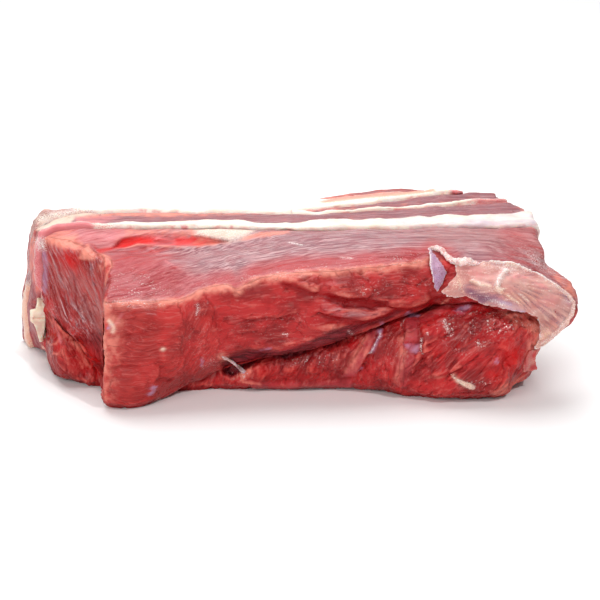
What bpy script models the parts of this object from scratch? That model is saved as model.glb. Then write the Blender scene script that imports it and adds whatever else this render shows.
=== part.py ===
"""A raw boneless beef short rib block, lying on its cut side, as it comes off the butcher's board.

The muscles and fat seams of a short rib lie in layers. Here they stand on edge, so that the flat top shows
them as long stripes. From the front (-Y) to the back (+Y) they are the front muscle, which overhangs the
lower muscle, the wide fat seam, the middle muscle, a thin seam, the back muscle, the back fat and the outer
muscle. Silverskin is left on the blunt nose at the right, and a wedge of tendon shows at the left end.

Each layer starts as a cube, cut into a lattice. Its points are moved onto rails: named lines that run along
the meat from left to right, in millimetres. Subdivision rounds that cage, and a cloud displacement gives
the skin its lumps.
"""

import bmesh
import bpy
import numpy as np

MM = 0.001

# Driving sizes, in millimetres.
TOP = 60.0  # height of the flat top
FLOOR_CUT = 1.5  # how far the cages reach below the floor, before the board trims them flat
GAP = 0.17  # a layer stays this far from the middle of a joint with the next one
CLEARANCE = 0.3  # between a piece and the neighbour that is cut round it
END_CELL = 0.018  # share of a layer's length in its first and last cell, so that its ends stay blunt
THIN_SEAM = 1.6  # thickness of the thin seam, behind the middle muscle
SILVERSKIN = 1.3  # thickness of the silverskin
MIDDLE = (-3.4, 10.2)  # the x and y that become the part's own origin, under the middle of the block

# Where the layers meet, as (x, y) along the block. They stand upright.
WALL_FRONT_SEAM = (
    (-112, 23), (-83, 22), (-40, 21), (-20, 19), (0, 16), (20, 13), (45, 12), (70, 11), (106, 9),
)
WALL_SEAM_MIDDLE = ((-114, 27), (-40, 25), (0, 24), (40, 22), (70, 22), (106, 24))
WALL_MIDDLE_BACK = (
    (-120, 41), (-78, 41), (-39, 39), (0, 36), (16, 34), (37, 36), (61, 39), (85, 43), (106, 45),
)
WALL_BACK_FAT = (
    (-120, 41), (-78, 41), (-39, 39), (0, 37), (10, 39), (27, 43), (50, 50), (69, 55), (88, 58),
)
WALL_FAT_OUTER = (
    (-120, 46.5), (-85, 47), (-39, 45), (0, 48), (10, 50), (37, 57), (51, 59), (65, 60), (88, 60.5),
)
BACK_SKIN = ((-120, 52), (-85, 54), (-39, 53), (0, 56), (20, 61), (40, 65), (55, 66), (70, 65), (88, 63))

MEAT_RED = (0.43, 0.052, 0.055)
MEAT_DARK = (0.36, 0.035, 0.04)
MEAT_MAUVE = (0.50, 0.17, 0.18)
FAT_CREAM = (0.86, 0.74, 0.62)
FAT_WHITE = (0.90, 0.84, 0.76)
TENDON_CREAM = (0.76, 0.66, 0.44)
SILVERSKIN_PINK = (0.78, 0.50, 0.46)


def clear_scene():
    for old in list(bpy.data.objects):
        bpy.data.objects.remove(old, do_unlink=True)


def new_collection(name):
    collection = bpy.data.collections.new(name)
    bpy.context.scene.collection.children.link(collection)
    return collection


def file_under(collection, obj):
    for old in list(obj.users_collection):
        old.objects.unlink(obj)
    collection.objects.link(obj)
    return obj


def flesh_material(name, colour, roughness):
    material = bpy.data.materials.new(name)
    material.use_nodes = True
    surface = material.node_tree.nodes["Principled BSDF"]
    surface.inputs["Base Color"].default_value = (*colour, 1)
    surface.inputs["Roughness"].default_value = roughness
    surface.inputs["Metallic"].default_value = 0
    return material


def eased(points, x):
    """The value at x of a smooth line through the (x, value) points, with no overshoot between them."""
    places, values = np.array(points, float).T
    spans = np.diff(places)
    slopes = np.diff(values) / spans
    inner = [2 * a * b / (a + b) if a * b > 0 else 0.0 for a, b in zip(slopes, slopes[1:])]
    bends = np.array([slopes[0], *inner, slopes[-1]])
    x = float(np.clip(x, places[0], places[-1]))
    low = min(int(np.searchsorted(places, x, side="right")) - 1, len(spans) - 1)
    u = (x - places[low]) / spans[low]
    start, end = values[low], values[low + 1]
    lean_in, lean_out = bends[low] * spans[low], bends[low + 1] * spans[low]
    blend = u * u * (3 - 2 * u)
    return start + (end - start) * blend + lean_in * u * (1 - u) ** 2 - lean_out * u * u * (1 - u)


def on_rail(rail, s):
    """The point of a rail at the share s of its length along X. A rail is a few (x, y, z) points."""
    x = rail[0][0] + s * (rail[-1][0] - rail[0][0])
    return np.array([x, eased([(p[0], p[1]) for p in rail], x), eased([(p[0], p[2]) for p in rail], x)])


def between_rails(rails, s, share):
    """A point between the rails of one side of a section: share 0 is on the first rail, 1 on the last."""
    place = share * (len(rails) - 1)
    low = min(int(place), len(rails) - 2)
    return on_rail(rails[low], s) * (1 - (place - low)) + on_rail(rails[low + 1], s) * (place - low)


def section_point(sides, s, t, w):
    """Fills the section at s: t runs from front to back and w from bottom to top, as in a Coons patch."""
    front, back, bottom, top = sides
    across = (1 - w) * between_rails(bottom, s, t) + w * between_rails(top, s, t)
    upright = (1 - t) * between_rails(front, s, w) + t * between_rails(back, s, w)
    corners = (1 - w) * ((1 - t) * on_rail(bottom[0], s) + t * on_rail(bottom[-1], s))
    corners += w * ((1 - t) * on_rail(top[0], s) + t * on_rail(top[-1], s))
    return across + upright - corners


def cube_lattice(name, cells):
    """A unit cube from 0 to 1, cut into that many cells along X, Y and Z."""
    bpy.ops.mesh.primitive_cube_add(size=1, location=(0, 0, 0))
    obj = bpy.context.active_object
    obj.name = name
    obj.data.name = name
    cube = bmesh.new()
    cube.from_mesh(obj.data)
    bmesh.ops.translate(cube, vec=(0.5, 0.5, 0.5), verts=cube.verts)
    for axis, count in enumerate(cells):
        along = [e for e in cube.edges if abs(e.verts[0].co[axis] - e.verts[1].co[axis]) > 0.5 / count]
        if count > 1:
            bmesh.ops.subdivide_edges(cube, edges=along, cuts=count - 1, use_grid_fill=True)
    cube.to_mesh(obj.data)
    cube.free()
    return obj


def sharpen(obj, corners, ends):
    """Creases the long corners of a lattice, given as {(t, w): crease}, and the rims of its two ends."""
    mesh = obj.data
    crease = mesh.attributes.new("crease_edge", "FLOAT", "EDGE")
    for edge in mesh.edges:
        a, b = (mesh.vertices[i].co for i in edge.vertices)
        for (t, w), value in corners.items():
            if all(abs(p.y - t) < 1e-4 and abs(p.z - w) < 1e-4 for p in (a, b)):
                crease.data[edge.index].value = value
        at_end = abs(a.x - b.x) < 1e-4 and min(a.x, 1 - a.x) < 1e-4
        upright = abs(a.y - b.y) < 1e-4 and min(a.y, 1 - a.y) < 1e-4
        level = abs(a.z - b.z) < 1e-4 and min(a.z, 1 - a.z) < 1e-4
        if at_end and (upright or level):
            crease.data[edge.index].value = ends


def blunt(s, cells):
    """Moves the lattice's first and last stations close to its ends."""
    place = s * cells
    if place < 1:
        return place * END_CELL
    if place > cells - 1:
        return 1 - (cells - place) * END_CELL
    return END_CELL + (place - 1) / (cells - 2) * (1 - 2 * END_CELL)


def lumpy(obj, group, size, height, seed):
    """Lumps of that size and height, in millimetres, over the skin's points."""
    clouds = bpy.data.textures.new(f"{obj.name} lumps {size}", "CLOUDS")
    clouds.noise_scale = size * MM
    clouds.noise_depth = 2
    anchor = bpy.data.objects.get(f"lump anchor {seed}")
    if anchor is None:
        anchor = bpy.data.objects.new(f"lump anchor {seed}", None)
        anchor.location = (seed * 31 * MM, seed * 17 * MM, 0)
        bpy.context.scene.collection.objects.link(anchor)
    lumps = obj.modifiers.new(f"lumps {size}", "DISPLACE")
    lumps.texture = clouds
    lumps.texture_coords = "OBJECT"
    lumps.texture_coords_object = anchor
    lumps.vertex_group = group
    lumps.strength = height * MM
    lumps.mid_level = 0.5


def layer(collection, name, material, cells, sides, skin, corners, ends=0.6, dent=None, seed=1):
    """One layer of the block. sides are its front, back, bottom and top rails. skin(s, t, w) says how much of
    the lumps a point takes: 1 where the meat is open to the air, 0 where it lies against its neighbour."""
    obj = cube_lattice(name, (cells, len(sides[3]) - 1, len(sides[0]) - 1))
    sharpen(obj, corners, ends)
    weights = obj.vertex_groups.new(name="skin")
    for vertex in obj.data.vertices:
        s, t, w = blunt(vertex.co.x, cells), vertex.co.y, vertex.co.z
        weights.add([vertex.index], skin(s, t, w), "REPLACE")
        place = section_point(sides, s, t, w)
        if dent:
            place = place + dent(s, t, w)
        vertex.co = (place - np.array([*MIDDLE, 0])) * MM
    rounding = obj.modifiers.new("rounding", "SUBSURF")
    rounding.levels = rounding.render_levels = 1
    lumpy(obj, "skin", 26, 3.4, seed)
    lumpy(obj, "skin", 9, 1.6, seed + 1)
    obj.data.materials.append(material)
    return file_under(collection, obj)


def made_mesh(obj, name):
    """A new object with the mesh that this one's modifiers give."""
    graph = bpy.context.evaluated_depsgraph_get()
    mesh = bpy.data.meshes.new_from_object(obj.evaluated_get(graph))
    made = bpy.data.objects.new(name, mesh)
    made.matrix_world = obj.matrix_world
    return made


def clearance_of(obj, collection):
    """A cutter that stands CLEARANCE proud of this piece all round."""
    cutter = made_mesh(obj, f"{obj.name} clearance")
    collection.objects.link(cutter)
    grown = cutter.modifiers.new("clearance", "DISPLACE")
    grown.strength = CLEARANCE * MM
    grown.mid_level = 0
    cutter.hide_render = True
    cutter.display_type = "WIRE"
    return cutter


def cut(obj, cutter):
    trim = obj.modifiers.new(f"cut by {cutter.name}", "BOOLEAN")
    trim.operation = "DIFFERENCE"
    trim.solver = "EXACT"
    trim.object = cutter


def floor_block(collection):
    """The board: everything below z = 0."""
    bpy.ops.mesh.primitive_cube_add(size=1, location=(0, 0, -10 * MM), scale=(400 * MM, 300 * MM, 20 * MM))
    board = bpy.context.active_object
    board.name = "board"
    bpy.ops.object.transform_apply(location=True, rotation=False, scale=True)
    board.hide_render = True
    board.display_type = "WIRE"
    return file_under(collection, board)


def wall_rail(wall, offset, heights, ends):
    """A rail up against an upright wall. heights are (x, z) along it, and ends its first and last x."""
    inner = [x for x in sorted({p[0] for p in (*wall, *heights)}) if ends[0] < x < ends[1]]
    return [(x, eased(wall, x) + offset, eased(heights, x)) for x in (ends[0], *inner, ends[1])]


def front_muscle(collection):
    """The big muscle at the front. Its left end stands on the board as a foot. Its right end is the nose."""
    edge_top = (
        (-82, -27, 47.5), (-68, -29, 46), (-52, -29, 46.5), (-38, -28, 50), (-20, -26, 53), (0, -25, 56),
        (20, -24, 58), (40, -20, 59.5), (52, -15, 61), (68, -24, 60), (84, -28, 57.5), (98, -27, 52.5),
        (109, -23, 47),
    )
    edge_face = (
        (-84, -32, 42), (-68, -35, 41), (-52, -35, 41), (-38, -34, 44), (-20, -33, 47), (0, -32, 50),
        (20, -31, 52), (40, -29, 53), (52, -25, 54), (68, -36, 55), (84, -41, 52), (98, -41, 48),
        (113, -33, 43),
    )
    face_middle = (
        (-85, -34, 24), (-68, -38, 22), (-52, -37, 24), (-38, -32, 28), (-20, -33, 34), (0, -35, 37),
        (20, -34, 41), (40, -33, 45), (52, -29, 47), (68, -41, 50), (84, -45, 47), (98, -43, 41),
        (114, -32, 37),
    )
    face_low = (
        (-86, -33, 9), (-72, -39, 7), (-62, -35, 9), (-50, -27, 13), (-38, -25, 16), (-20, -30, 24),
        (0, -34, 29),
        (20, -33, 34), (40, -32, 39), (52, -28, 43), (68, -40, 45), (84, -43, 41), (97, -41, 33),
        (110, -31, 29),
    )
    lip = (
        (-86, -30, -1), (-74, -36, -1.5), (-65, -31, -1), (-54, -20, 2), (-40, -19, 7), (-22, -27, 16),
        (0, -31, 21),
        (18, -30, 27), (38, -29, 34), (52, -26, 38), (66, -36, 41), (82, -39, 37), (92, -38, 30),
        (102, -30, 21),
    )
    under_front = (
        (-88, -22, -1), (-74, -24, -1.5), (-65, -21, -1), (-54, -14, 3), (-40, -13, 8), (-22, -19, 17),
        (0, -22, 22),
        (18, -21, 28), (38, -20, 34), (52, -18, 38), (66, -26, 40), (82, -28, 37), (92, -27, 31),
        (101, -20, 26),
    )
    under_middle = (
        (-98, -1, 17), (-70, -1, 16), (-40, 1, 18), (0, -2, 24), (20, -3, 29), (40, -4, 34), (55, -4, 37),
        (80, -6, 38), (101, -6, 35),
    )
    under_heights = ((-112, 28), (-40, 25), (0, 27), (20, 30), (40, 34), (60, 37), (106, 38))
    under_back = wall_rail(WALL_FRONT_SEAM, -GAP, under_heights, (-110, 100))
    top_heights = ((-112, TOP - 1), (-95, TOP + 1), (-80, TOP + 1.5), (0, TOP), (106, TOP))
    back = [under_back]
    for share in (0.25, 0.5, 0.75, 1):
        places = sorted({x for x, _ in (*under_heights, *top_heights)})
        low, high = 1 - share, share
        heights = [(x, low * eased(under_heights, x) + high * eased(top_heights, x)) for x in places]
        back.append(wall_rail(WALL_FRONT_SEAM, -GAP, heights, (-110, 100 + 2 * share)))
    top_front = (
        (-79.5, -19, 52), (-68, -19, 51.5), (-40, -18, 53), (-20, -17, 55.5), (0, -16, 57.5), (20, -15, 59.5),
        (45, -12, 61), (56, -9, 61.5), (70, -14, 61), (90, -18, 59), (104, -16, 54),
    )
    crest = (
        (-82.5, -8, 57), (-68, -3, 58), (-50, -8, 58), (-31, -6, 58.5), (-21, -2, 59), (0, 0, 59.5),
        (20, -1, 60.5),
        (45, -2, 61), (70, -4, 61), (90, -6, 60), (101, -6, 58),
    )
    groove = (
        (-91, 0, 57.5), (-80, 2, 55), (-68, 5, 51.5), (-50, 2, 51), (-31, 4, 52.5), (-18, 8, 57),
        (0, 8, TOP),
        (45, 4, TOP + 0.5), (90, 2, TOP), (100, 2, 59),
    )
    bank = (
        (-101, 10, 59.5), (-82, 12, 61), (-50, 11, 60.5), (-31, 12, 60), (0, 12, TOP), (45, 8, TOP + 0.5),
        (90, 6, TOP + 0.5), (102, 6, 59.5),
    )
    sides = (
        (lip, face_low, face_middle, edge_face, edge_top),
        back,
        (lip, under_front, under_middle, under_back),
        (edge_top, top_front, crest, groove, bank, back[-1]),
    )

    def skin(s, t, w):
        if t < 0.01:
            return 1.0
        if w > 0.99:
            return 0.45 * (1 - t)
        if s < 0.01 or s > 0.99:
            return 0.8 * (1 - t)
        return 0.0

    def dent(s, t, w):
        """The end face is hollow behind the foot, where it meets the lower muscle."""
        hollow = s < 0.01 and 0.15 < t < 0.5 and 0.1 < w < 0.6
        return np.array([6.0 if hollow else 0.0, 0.0, 0.0])

    red = flesh_material("front muscle red", MEAT_RED, 0.45)
    corners = {(1, 1): 0.9, (1, 0): 1.0, (0, 1): 0.2}
    return layer(collection, "front_muscle", red, 22, sides, skin, corners, 0.35, dent, seed=3)


def lower_muscle(collection):
    """The muscle under the front one. It shows along the front and at the left end."""
    top_front = (
        (-88, -17, 7), (-68, -16, 9), (-54, -14, 10), (-40, -12, 13), (-28, -18, 18), (0, -23, 24),
        (18, -24, 30),
        (30, -28, 34), (42, -30, 37), (56, -33, 40), (70, -36, 41), (84, -34, 39), (96, -24, 36),
    )
    face_high = (
        (-92, -19, 3), (-68, -18, 4), (-54, -16, 5), (-40, -15, 7), (-28, -21, 12), (0, -26, 16),
        (18, -28, 21),
        (30, -33, 25), (42, -36, 28), (56, -41, 30), (70, -44, 30), (84, -43, 29), (98, -28, 27),
    )
    face_low = (
        (-92, -18, 0), (-68, -18, 0), (-54, -17, 1), (-40, -17, 3), (-28, -20, 5), (0, -25, 7),
        (18, -26, 9),
        (30, -34, 10), (42, -39, 11), (56, -44, 11), (70, -46, 11), (84, -44, 11), (98, -28, 12),
    )
    bottom_front = (
        (-90, -14, -FLOOR_CUT), (-28, -16, -FLOOR_CUT), (0, -20, -FLOOR_CUT), (18, -21, -FLOOR_CUT),
        (30, -30, -FLOOR_CUT), (42, -36, -FLOOR_CUT), (56, -41, -FLOOR_CUT), (70, -43, -FLOOR_CUT),
        (84, -40, -FLOOR_CUT), (95, -22, -FLOOR_CUT),
    )
    bottom_near = ((-101, -3, -FLOOR_CUT), (0, -6, -FLOOR_CUT), (60, -12, -FLOOR_CUT), (98, -8, -FLOOR_CUT))
    bottom_far = ((-107, 9, -FLOOR_CUT), (0, 6, -FLOOR_CUT), (60, 2, -FLOOR_CUT), (99, 2, -FLOOR_CUT))
    bottom_back = wall_rail(WALL_FRONT_SEAM, -GAP, ((-112, -FLOOR_CUT), (106, -FLOOR_CUT)), (-111, 99))
    top_near = (
        (-102, -4, 18), (-70, -4, 17), (-40, -3, 19), (0, -5, 26), (20, -8, 31), (40, -10, 36),
        (70, -14, 41),
        (98, -8, 38),
    )
    top_far = ((-108, 9, 25), (-40, 8, 24), (0, 6, 28), (40, 4, 36), (60, 3, 39), (99, 2, 38))
    top_heights = ((-112, 30), (-40, 28), (0, 30), (20, 33), (40, 37), (60, 40), (106, 41))
    back = [bottom_back]
    for share in (0.34, 0.67, 1):
        heights = [(x, share * z - (1 - share) * FLOOR_CUT) for x, z in top_heights]
        back.append(wall_rail(WALL_FRONT_SEAM, -GAP, heights, (-111, 100)))
    sides = (
        (bottom_front, face_low, face_high, top_front),
        back,
        (bottom_front, bottom_near, bottom_far, bottom_back),
        (top_front, top_near, top_far, back[-1]),
    )

    def skin(s, t, w):
        if w < 0.01 or t > 0.99:
            return 0.0
        if t < 0.01:
            return 1.0
        return 0.8 if s < 0.01 or s > 0.99 else 0.3

    red = flesh_material("lower muscle red", MEAT_DARK, 0.4)
    corners = {(1, 1): 1.0, (1, 0): 1.0}
    return layer(collection, "lower_muscle", red, 20, sides, skin, corners, 0.35, seed=7)


def standing_layer(
    collection, name, material, cells, walls, ends, heights, bulge=0, skin_back=0, levels=3, lean=0, seed=1
):
    """A layer that stands on edge between two upright walls. ends are its left x at the bottom and the top,
    then its right x at the bottom and the top. heights are (x, z) of its top, which bulges proud in its
    middle. lean moves the back of its left end to the left, to follow the slanting cut."""
    left_low, left_high, right_low, right_high = ends
    front_wall, back_wall = walls

    def rail(wall, offset, share, slant, lift=0.0):
        climb = [(x, -FLOOR_CUT + share * (z + lift + FLOOR_CUT)) for x, z in heights]
        left = left_low + share * (left_high - left_low) - slant
        right = right_low + share * (right_high - right_low)
        return wall_rail(wall, offset, climb, (left, right))

    shares = [i / (levels - 1) for i in range(levels)]
    front = [rail(front_wall, GAP, share, 0) for share in shares]
    back = [rail(back_wall, -GAP, share, lean) for share in shares]
    places = sorted({x for x, _ in (*front_wall, *back_wall)})
    middle_wall = [(x, (eased(front_wall, x) + eased(back_wall, x)) / 2) for x in places]
    sides = (
        front,
        back,
        (front[0], rail(middle_wall, 0, 0, lean / 2), back[0]),
        (front[-1], rail(middle_wall, 0, 1, lean / 2, bulge), back[-1]),
    )

    def skin(s, t, w):
        if w < 0.01:
            return 0.0
        if s < 0.01 or s > 0.99:
            return 0.35
        if w > 0.99:
            return 0.3 if 0.1 < t < 0.9 else 0.0
        return skin_back if t > 0.99 else 0.0

    corners = {(0, 0): 1.0, (1, 0): 1.0, (0, 1): 0.85, (1, 1): 0.85 - 0.5 * skin_back}
    return layer(collection, name, material, cells, sides, skin, corners, 0.6, seed=seed)


def standing_layers(collection):
    """The layers behind the front muscle, in order from front to back."""
    white = flesh_material("fat white", FAT_WHITE, 0.5)
    cream = flesh_material("fat cream", FAT_CREAM, 0.5)
    mauve = flesh_material("muscle mauve", MEAT_MAUVE, 0.5)
    red = flesh_material("outer muscle red", MEAT_RED, 0.5)
    thin_back = [(x, y + THIN_SEAM) for x, y in WALL_MIDDLE_BACK]
    # The back muscle ends in a wedge. Past the fat's right end it rounds off to the open back.
    wedge_back = (*WALL_BACK_FAT[4:-1], (80, 57), (91, 56), (104, 50))
    fat_front = [(x, y if x <= 0 else y + 2 * GAP) for x, y in WALL_BACK_FAT]
    standing_layer(
        collection, "fat_seam", white, 18, (WALL_FRONT_SEAM, WALL_SEAM_MIDDLE), (-112, -110, 98, 104),
        ((-112, TOP), (-83, TOP + 1.8), (0, TOP + 1), (106, TOP + 1)), bulge=1.2, seed=11, lean=1,
    )
    standing_layer(
        collection, "middle_muscle", mauve, 18, (WALL_SEAM_MIDDLE, WALL_MIDDLE_BACK), (-112, -110, 97, 102),
        ((-112, TOP - 2), (-98, TOP + 2), (-20, TOP + 1), (106, TOP)), bulge=0.8, seed=13, lean=4,
    )
    standing_layer(
        collection, "thin_seam", white, 12, (WALL_MIDDLE_BACK, thin_back), (4, 0, 94, 97.5),
        ((0, TOP + 0.5), (106, TOP + 0.5)), bulge=0.5, seed=17, levels=2,
    )
    standing_layer(
        collection, "back_muscle", mauve, 12, (thin_back, wedge_back), (10, 6, 92, 95),
        ((0, TOP), (60, TOP + 1), (106, TOP)), skin_back=0.3, bulge=0.8, seed=19,
    )
    standing_layer(
        collection, "back_fat", cream, 18, (fat_front, WALL_FAT_OUTER), (-118, -113, 79, 79),
        ((-118, TOP - 1), (-80, TOP + 2.5), (0, TOP + 1), (88, TOP + 1)), bulge=0.8, seed=23, lean=1,
    )
    standing_layer(
        collection, "outer_muscle", red, 18, (WALL_FAT_OUTER, BACK_SKIN), (-119, -114, 84, 78),
        ((-118, 54), (-103, 61), (-88, 60), (-40, 53), (0, 56), (18, 60.5), (60, 60.5), (74, 57), (88, 50)),
        skin_back=0.9, bulge=0.5, seed=29, levels=4, lean=1,
    )


def tendon(collection):
    """A wedge of cream tendon, let into the left end of the block. It is broad at its top and thin below."""
    foot = ((-115, 26.5, 8), (-104, 26.5, 8))
    sides_of_wedge = []
    for spread in (-1, 1):
        low = [(x, y + 1.0 * spread, z) for x, y, z in foot]
        middle = [(x, y + 3.2 * spread, z + 9) for x, y, z in foot]
        high = [(x + 1, y + 6.0 * spread, z + 17) for x, y, z in foot]
        top = [(x + 3, y + 4.0 * spread, z + 20) for x, y, z in foot]
        sides_of_wedge.append((low, middle, high, top))
    front, back = sides_of_wedge
    sides = (front, back, (front[0], back[0]), (front[-1], back[-1]))
    cream = flesh_material("tendon cream", TENDON_CREAM, 0.35)
    return layer(collection, "tendon", cream, 3, sides, lambda s, t, w: 0.0, {}, 0.3)


def silverskin(collection, meat):
    """A sheet of silverskin, laid over the nose of the front muscle. Its left edge curls off the meat."""
    low_edge = ((54, -34, 45), (60, -38, 43), (71, -43, 42), (84, -46, 38), (93, -45, 30), (103, -37, 21))
    low = ((53, -34, 49), (60, -39, 47), (71, -46, 46), (84, -50, 43), (96, -48, 36), (109, -37, 28))
    middle = ((52, -31, 54), (60, -36, 53), (71, -45, 52), (84, -49, 49), (97, -47, 44), (113, -37, 37))
    high = ((51, -26, 59), (59, -31, 58), (70, -39, 57.5), (84, -45, 54.5), (97, -44, 50), (112, -37, 43))
    high_edge = ((50, -20, 64), (58, -25, 62), (69, -31, 61), (84, -36, 59), (96, -37, 54), (109, -34, 48))
    obj = cube_lattice("silverskin", (16, 1, 8))
    sheet = bmesh.new()
    sheet.from_mesh(obj.data)
    bmesh.ops.delete(sheet, geom=[v for v in sheet.verts if v.co.y > 0.5], context="VERTS")
    for vertex in sheet.verts:
        s, _, w = vertex.co
        place = between_rails((low_edge, low, middle, high, high_edge), s, w)
        vertex.co = (place - np.array([*MIDDLE, 0])) * MM
    sheet.to_mesh(obj.data)
    sheet.free()
    curl = obj.vertex_groups.new(name="curl")
    for vertex in obj.data.vertices:
        x = vertex.co.x / MM + MIDDLE[0]
        curl.add([vertex.index], float(np.clip((60 - x) / 8, 0, 1)), "REPLACE")
    wrap = obj.modifiers.new("laid on the meat", "SHRINKWRAP")
    wrap.target = meat
    wrap.wrap_method = "NEAREST_SURFACEPOINT"
    wrap.wrap_mode = "OUTSIDE_SURFACE"
    wrap.offset = (0.6 + SILVERSKIN / 2) * MM
    ease = obj.modifiers.new("ease", "SMOOTH")
    ease.factor = 0.5
    ease.iterations = 1
    lift = obj.modifiers.new("curled edge", "DISPLACE")
    lift.vertex_group = "curl"
    lift.strength = 3.0 * MM
    lift.mid_level = 0
    thick = obj.modifiers.new("thickness", "SOLIDIFY")
    thick.thickness = SILVERSKIN * MM
    thick.offset = 0
    obj.data.materials.append(flesh_material("silverskin pink", SILVERSKIN_PINK, 0.3))
    return file_under(collection, obj)


def main():
    clear_scene()
    meat = new_collection("boneless short rib")
    cutters = new_collection("cutters")
    board = floor_block(cutters)
    front = front_muscle(meat)
    lower = lower_muscle(meat)
    standing_layers(meat)
    wedge = tendon(meat)
    skin = silverskin(meat, front)
    bpy.context.view_layer.update()
    cut(lower, clearance_of(front, cutters))
    round_wedge = clearance_of(wedge, cutters)
    for name in ("front_muscle", "lower_muscle", "fat_seam", "middle_muscle"):
        cut(bpy.data.objects[name], round_wedge)
    for obj in list(meat.objects):
        if obj not in (wedge, skin):
            cut(obj, board)
        obj.data.shade_smooth()


main()
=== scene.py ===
import math

import bpy
import numpy as np
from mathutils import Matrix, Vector


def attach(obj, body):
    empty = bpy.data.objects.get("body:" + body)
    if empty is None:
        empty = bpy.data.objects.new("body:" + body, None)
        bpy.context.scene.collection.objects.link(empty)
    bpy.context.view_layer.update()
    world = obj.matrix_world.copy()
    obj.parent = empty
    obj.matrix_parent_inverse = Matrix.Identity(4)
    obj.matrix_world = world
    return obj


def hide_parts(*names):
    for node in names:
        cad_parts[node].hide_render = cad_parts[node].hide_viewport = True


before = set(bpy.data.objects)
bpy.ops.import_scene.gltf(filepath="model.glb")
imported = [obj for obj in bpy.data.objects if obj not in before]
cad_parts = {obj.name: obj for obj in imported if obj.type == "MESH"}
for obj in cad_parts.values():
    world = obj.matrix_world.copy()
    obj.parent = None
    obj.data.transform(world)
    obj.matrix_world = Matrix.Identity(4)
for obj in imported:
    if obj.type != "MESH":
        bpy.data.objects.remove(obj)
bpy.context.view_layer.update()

# A raw boneless short rib block, lying flat: red lean muscles and cream fat seams that stand on edge.
# All sizes are in millimetres, and all pixel places are those of a 600 pixel wide picture from the camera.
MM = 0.001

PICTURE_SIDE = 600
PICTURE_MIDDLE = PICTURE_SIDE // 2
LENS_PIXELS = 2014
SENSOR_WIDTH = 36
CAMERA_AZIMUTH = math.radians(-6)
CAMERA_ELEVATION = math.radians(20)
CAMERA_DISTANCE = 850
CAMERA_TARGET = np.array([3.4, -10.2, 33.0])

BACKWARDS = np.array([
    math.sin(CAMERA_AZIMUTH) * math.cos(CAMERA_ELEVATION),
    -math.cos(CAMERA_AZIMUTH) * math.cos(CAMERA_ELEVATION),
    math.sin(CAMERA_ELEVATION),
])
CAMERA_PLACE = CAMERA_TARGET + BACKWARDS * CAMERA_DISTANCE
CAMERA_RIGHT = np.cross(-BACKWARDS, [0, 0, 1])
CAMERA_RIGHT = CAMERA_RIGHT / np.linalg.norm(CAMERA_RIGHT)
CAMERA_UP = np.cross(CAMERA_RIGHT, -BACKWARDS)
LEVEL_BACK = -np.array([BACKWARDS[0], BACKWARDS[1], 0.0]) / math.hypot(BACKWARDS[0], BACKWARDS[1])

# Voxel size of each piece: small enough for its fibres, large enough for its triangle budget.
VOXELS = {
    "front_muscle": 0.72,
    "lower_muscle": 0.62,
    "fat_seam": 0.6,
    "middle_muscle": 0.62,
    "thin_seam": 0.45,
    "back_muscle": 0.6,
    "back_fat": 0.6,
    "outer_muscle": 0.65,
    "tendon": 0.3,
}
# How often each piece is smoothed before it is sculpted, so that its facets go.
MELTS = {
    "front_muscle": 26,
    "lower_muscle": 26,
    "fat_seam": 8,
    "middle_muscle": 8,
    "thin_seam": 5,
    "back_muscle": 7,
    "back_fat": 8,
    "outer_muscle": 10,
    "tendon": 6,
}
# Fat presses up against the meat beside it, so that no dark gap shows between the layers.
SWELLS = {"lower_muscle": 0.3, "fat_seam": 0.32, "thin_seam": 0.3, "back_fat": 0.32, "tendon": 0.25}
TRIANGLE_LIMIT = 190000
# Points of a solid that lie closer than this, in millimetres, are merged.
MERGE_DISTANCE = 0.02


# ---------------------------------------------------------------- noise and small sums

_rng = np.random.RandomState(11)
SHUFFLE = _rng.permutation(256)
LEANS = _rng.normal(size=(256, 3))
LEANS = LEANS / np.linalg.norm(LEANS, axis=1)[:, None]


def ripple(places, seed=0):
    """Smooth noise from about -1 to 1, one value for each place. Its waves are about one unit long."""
    places = np.asarray(places, float) + seed * 17.31
    cell = np.floor(places).astype(np.int64)
    inside = places - cell
    ease = inside ** 3 * (inside * (inside * 6 - 15) + 10)
    total = np.zeros(len(places))
    for i in (0, 1):
        row = SHUFFLE[(cell[:, 0] + i) & 255]
        share_x = ease[:, 0] if i else 1 - ease[:, 0]
        for j in (0, 1):
            column = SHUFFLE[(row + cell[:, 1] + j) & 255]
            share_y = ease[:, 1] if j else 1 - ease[:, 1]
            for k in (0, 1):
                lean = LEANS[SHUFFLE[(column + cell[:, 2] + k) & 255]]
                share_z = ease[:, 2] if k else 1 - ease[:, 2]
                reach = (lean * (inside - (i, j, k))).sum(1)
                total += share_x * share_y * share_z * reach
    return total * 1.7


def rough(places, octaves=3, seed=0, fade=0.5):
    """Several ripples on top of each other, each half as long as the one before."""
    total = np.zeros(len(places))
    size = 1.0
    for turn in range(octaves):
        total += size * ripple(places * 2 ** turn, seed + turn * 3.7)
        size *= fade
    return total


def ridged(places, octaves=2, seed=0):
    """Sharp crests at 1 with rounded valleys down to 0."""
    total = np.zeros(len(places))
    size, whole = 1.0, 0.0
    for turn in range(octaves):
        total += size * (1 - np.abs(ripple(places * 2 ** turn, seed + turn * 5.1)) * 1.6)
        whole += size
        size *= 0.5
    return np.clip(total / whole, 0, 1)


def step(low, high, values):
    """0 below low, 1 above high, and eased between them. low may be the larger one."""
    share = np.clip((np.asarray(values, float) - low) / (high - low), 0, 1)
    return share * share * (3 - 2 * share)


def in_picture(points):
    """The picture's pixel coordinates of points in millimetres."""
    away = points - CAMERA_PLACE
    depth = away @ -BACKWARDS
    px = PICTURE_MIDDLE + LENS_PIXELS * (away @ CAMERA_RIGHT) / depth
    return px, PICTURE_MIDDLE - LENS_PIXELS * (away @ CAMERA_UP) / depth


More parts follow.
